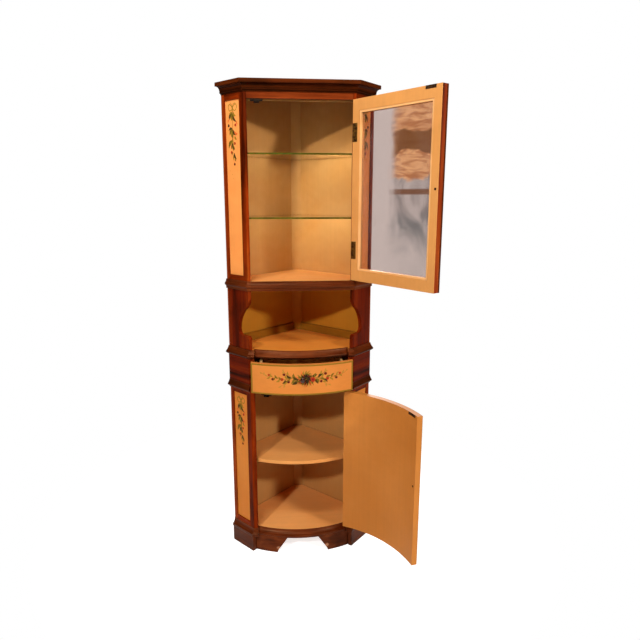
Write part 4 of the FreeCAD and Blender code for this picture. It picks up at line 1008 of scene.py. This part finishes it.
def paint_flowers():
    for name, side in (("left", -1), ("right", 1)):
        brush = Brush("flowers_" + name, cant_face(side))
        hanging_spray(brush, UPPER_SPRAY_TOP, UPPER_SPRAY_SIZE)
        hanging_spray(brush, LOWER_SPRAY_TOP, LOWER_SPRAY_SIZE)
        brush.done("carcass")
    brush = Brush("flowers_drawer", drawer_face)
    middle_z = (DRAWER_LOW.z + DRAWER_HIGH.z) / 2 / MM
    branch_x, branch_up = DRAWER_BRANCH_PLACE
    for way in (-1, 1):
        side_branch(brush, branch_x, middle_z + branch_up, way, DRAWER_BRANCH_SIZE)
    rosette_x, rosette_up = DRAWER_ROSETTE_PLACE
    rosette(brush, rosette_x, middle_z + rosette_up, DRAWER_ROSETTE_SIZE)
    brush.done("drawer")
    brush = Brush("flowers_lower_door", lower_door_face)
    middle_z = (LOWER_DOOR_LOW + LOWER_DOOR_HIGH) / 2 / MM
    ribbon_bow(brush, 0, middle_z + DOOR_BOW_RISE, DOOR_BOW_SIZE)
    for way in (-1, 1):
        side_branch(brush, 0, middle_z, way, DOOR_BRANCH_SIZE)
    rosette(brush, 0, middle_z, DOOR_ROSETTE_SIZE)
    brush.done("lower_door")


# Floor, light and camera

FLOOR_SIZE = 60.0
FLOOR_CLEAR = 1.2           # beyond this the floor is plain white
FLOOR_NEAR_GLOW = .74
FLOOR_COLOUR = (.8, .8, .8)


def make_floor():
    mesh = bpy.data.meshes.new("floor")
    half = FLOOR_SIZE / 2
    mesh.from_pydata([(-half, -half, 0), (half, -half, 0), (half, half, 0), (-half, half, 0)],
                     [], [(0, 1, 2, 3)])
    floor = bpy.data.objects.new("floor", mesh)
    bpy.context.scene.collection.objects.link(floor)
    shader = Shader("pale_floor")
    away = shader.node("VectorMath", {0: shader.place()}, operation="LENGTH").outputs["Value"]
    ray = shader.node("LightPath").outputs
    seen = shader.larger(ray["Is Camera Ray"], ray["Is Transmission Ray"])
    far = shader.times(shader.step(away, FLOOR_CLEAR * .5, FLOOR_CLEAR), seen)
    lit = shader.node("BsdfDiffuse", {"Color": FLOOR_COLOUR})
    glow = shader.node("Emission", {"Strength": shader.times(seen, FLOOR_NEAR_GLOW)})
    near = shader.node("AddShader", {0: lit.outputs[0], 1: glow.outputs[0]})
    white = shader.node("Emission", {"Strength": BACKGROUND_STRENGTH})
    shader.output(shader.node("MixShader", {0: far, 1: near.outputs[0],
                                            2: white.outputs[0]}).outputs[0])
    mesh.materials.append(shader.made)


def make_world():
    """White to the camera and through glass, and a weak warm fill to everything else."""
    shader = Shader("studio", "worlds")
    ray = shader.node("LightPath").outputs
    seen = shader.larger(ray["Is Camera Ray"], ray["Is Transmission Ray"])
    background = shader.node("Background", {
        "Color": shader.mix(seen, FILL_COLOUR, (1, 1, 1)),
        "Strength": shader.step(seen, 0, 1, FILL_STRENGTH, BACKGROUND_STRENGTH)})
    shader.node("OutputWorld", {"Surface": background.outputs[0]})
    bpy.context.scene.world = shader.made


def make_lamps():
    for name, (place, size, power) in LAMPS.items():
        light = bpy.data.lights.new(name, "AREA")
        light.shape, light.size, light.energy = "DISK", size, power
        lamp = bpy.data.objects.new(name, light)
        lamp.location = place
        aim = Vector(LAMP_AIM) - lamp.location
        lamp.rotation_euler = aim.to_track_quat("-Z", "Y").to_euler()
        bpy.context.scene.collection.objects.link(lamp)


def make_camera():
    lens = bpy.data.cameras.new("camera")
    lens.lens, lens.sensor_width = CAMERA_LENS, CAMERA_SENSOR
    camera = bpy.data.objects.new("camera", lens)
    camera.location = CAMERA_PLACE
    aim = Euler((math.radians(CAMERA_TILT), 0, math.radians(CAMERA_TURN))).to_quaternion()
    roll = Quaternion((0, 0, 1), math.radians(CAMERA_ROLL))
    camera.rotation_euler = (aim @ roll).to_euler()
    bpy.context.scene.collection.objects.link(camera)
    bpy.context.scene.camera = camera


finish_all()
paint_flowers()
make_floor()
make_world()
make_lamps()
make_camera()
bpy.context.scene.view_settings.view_transform = "Standard"
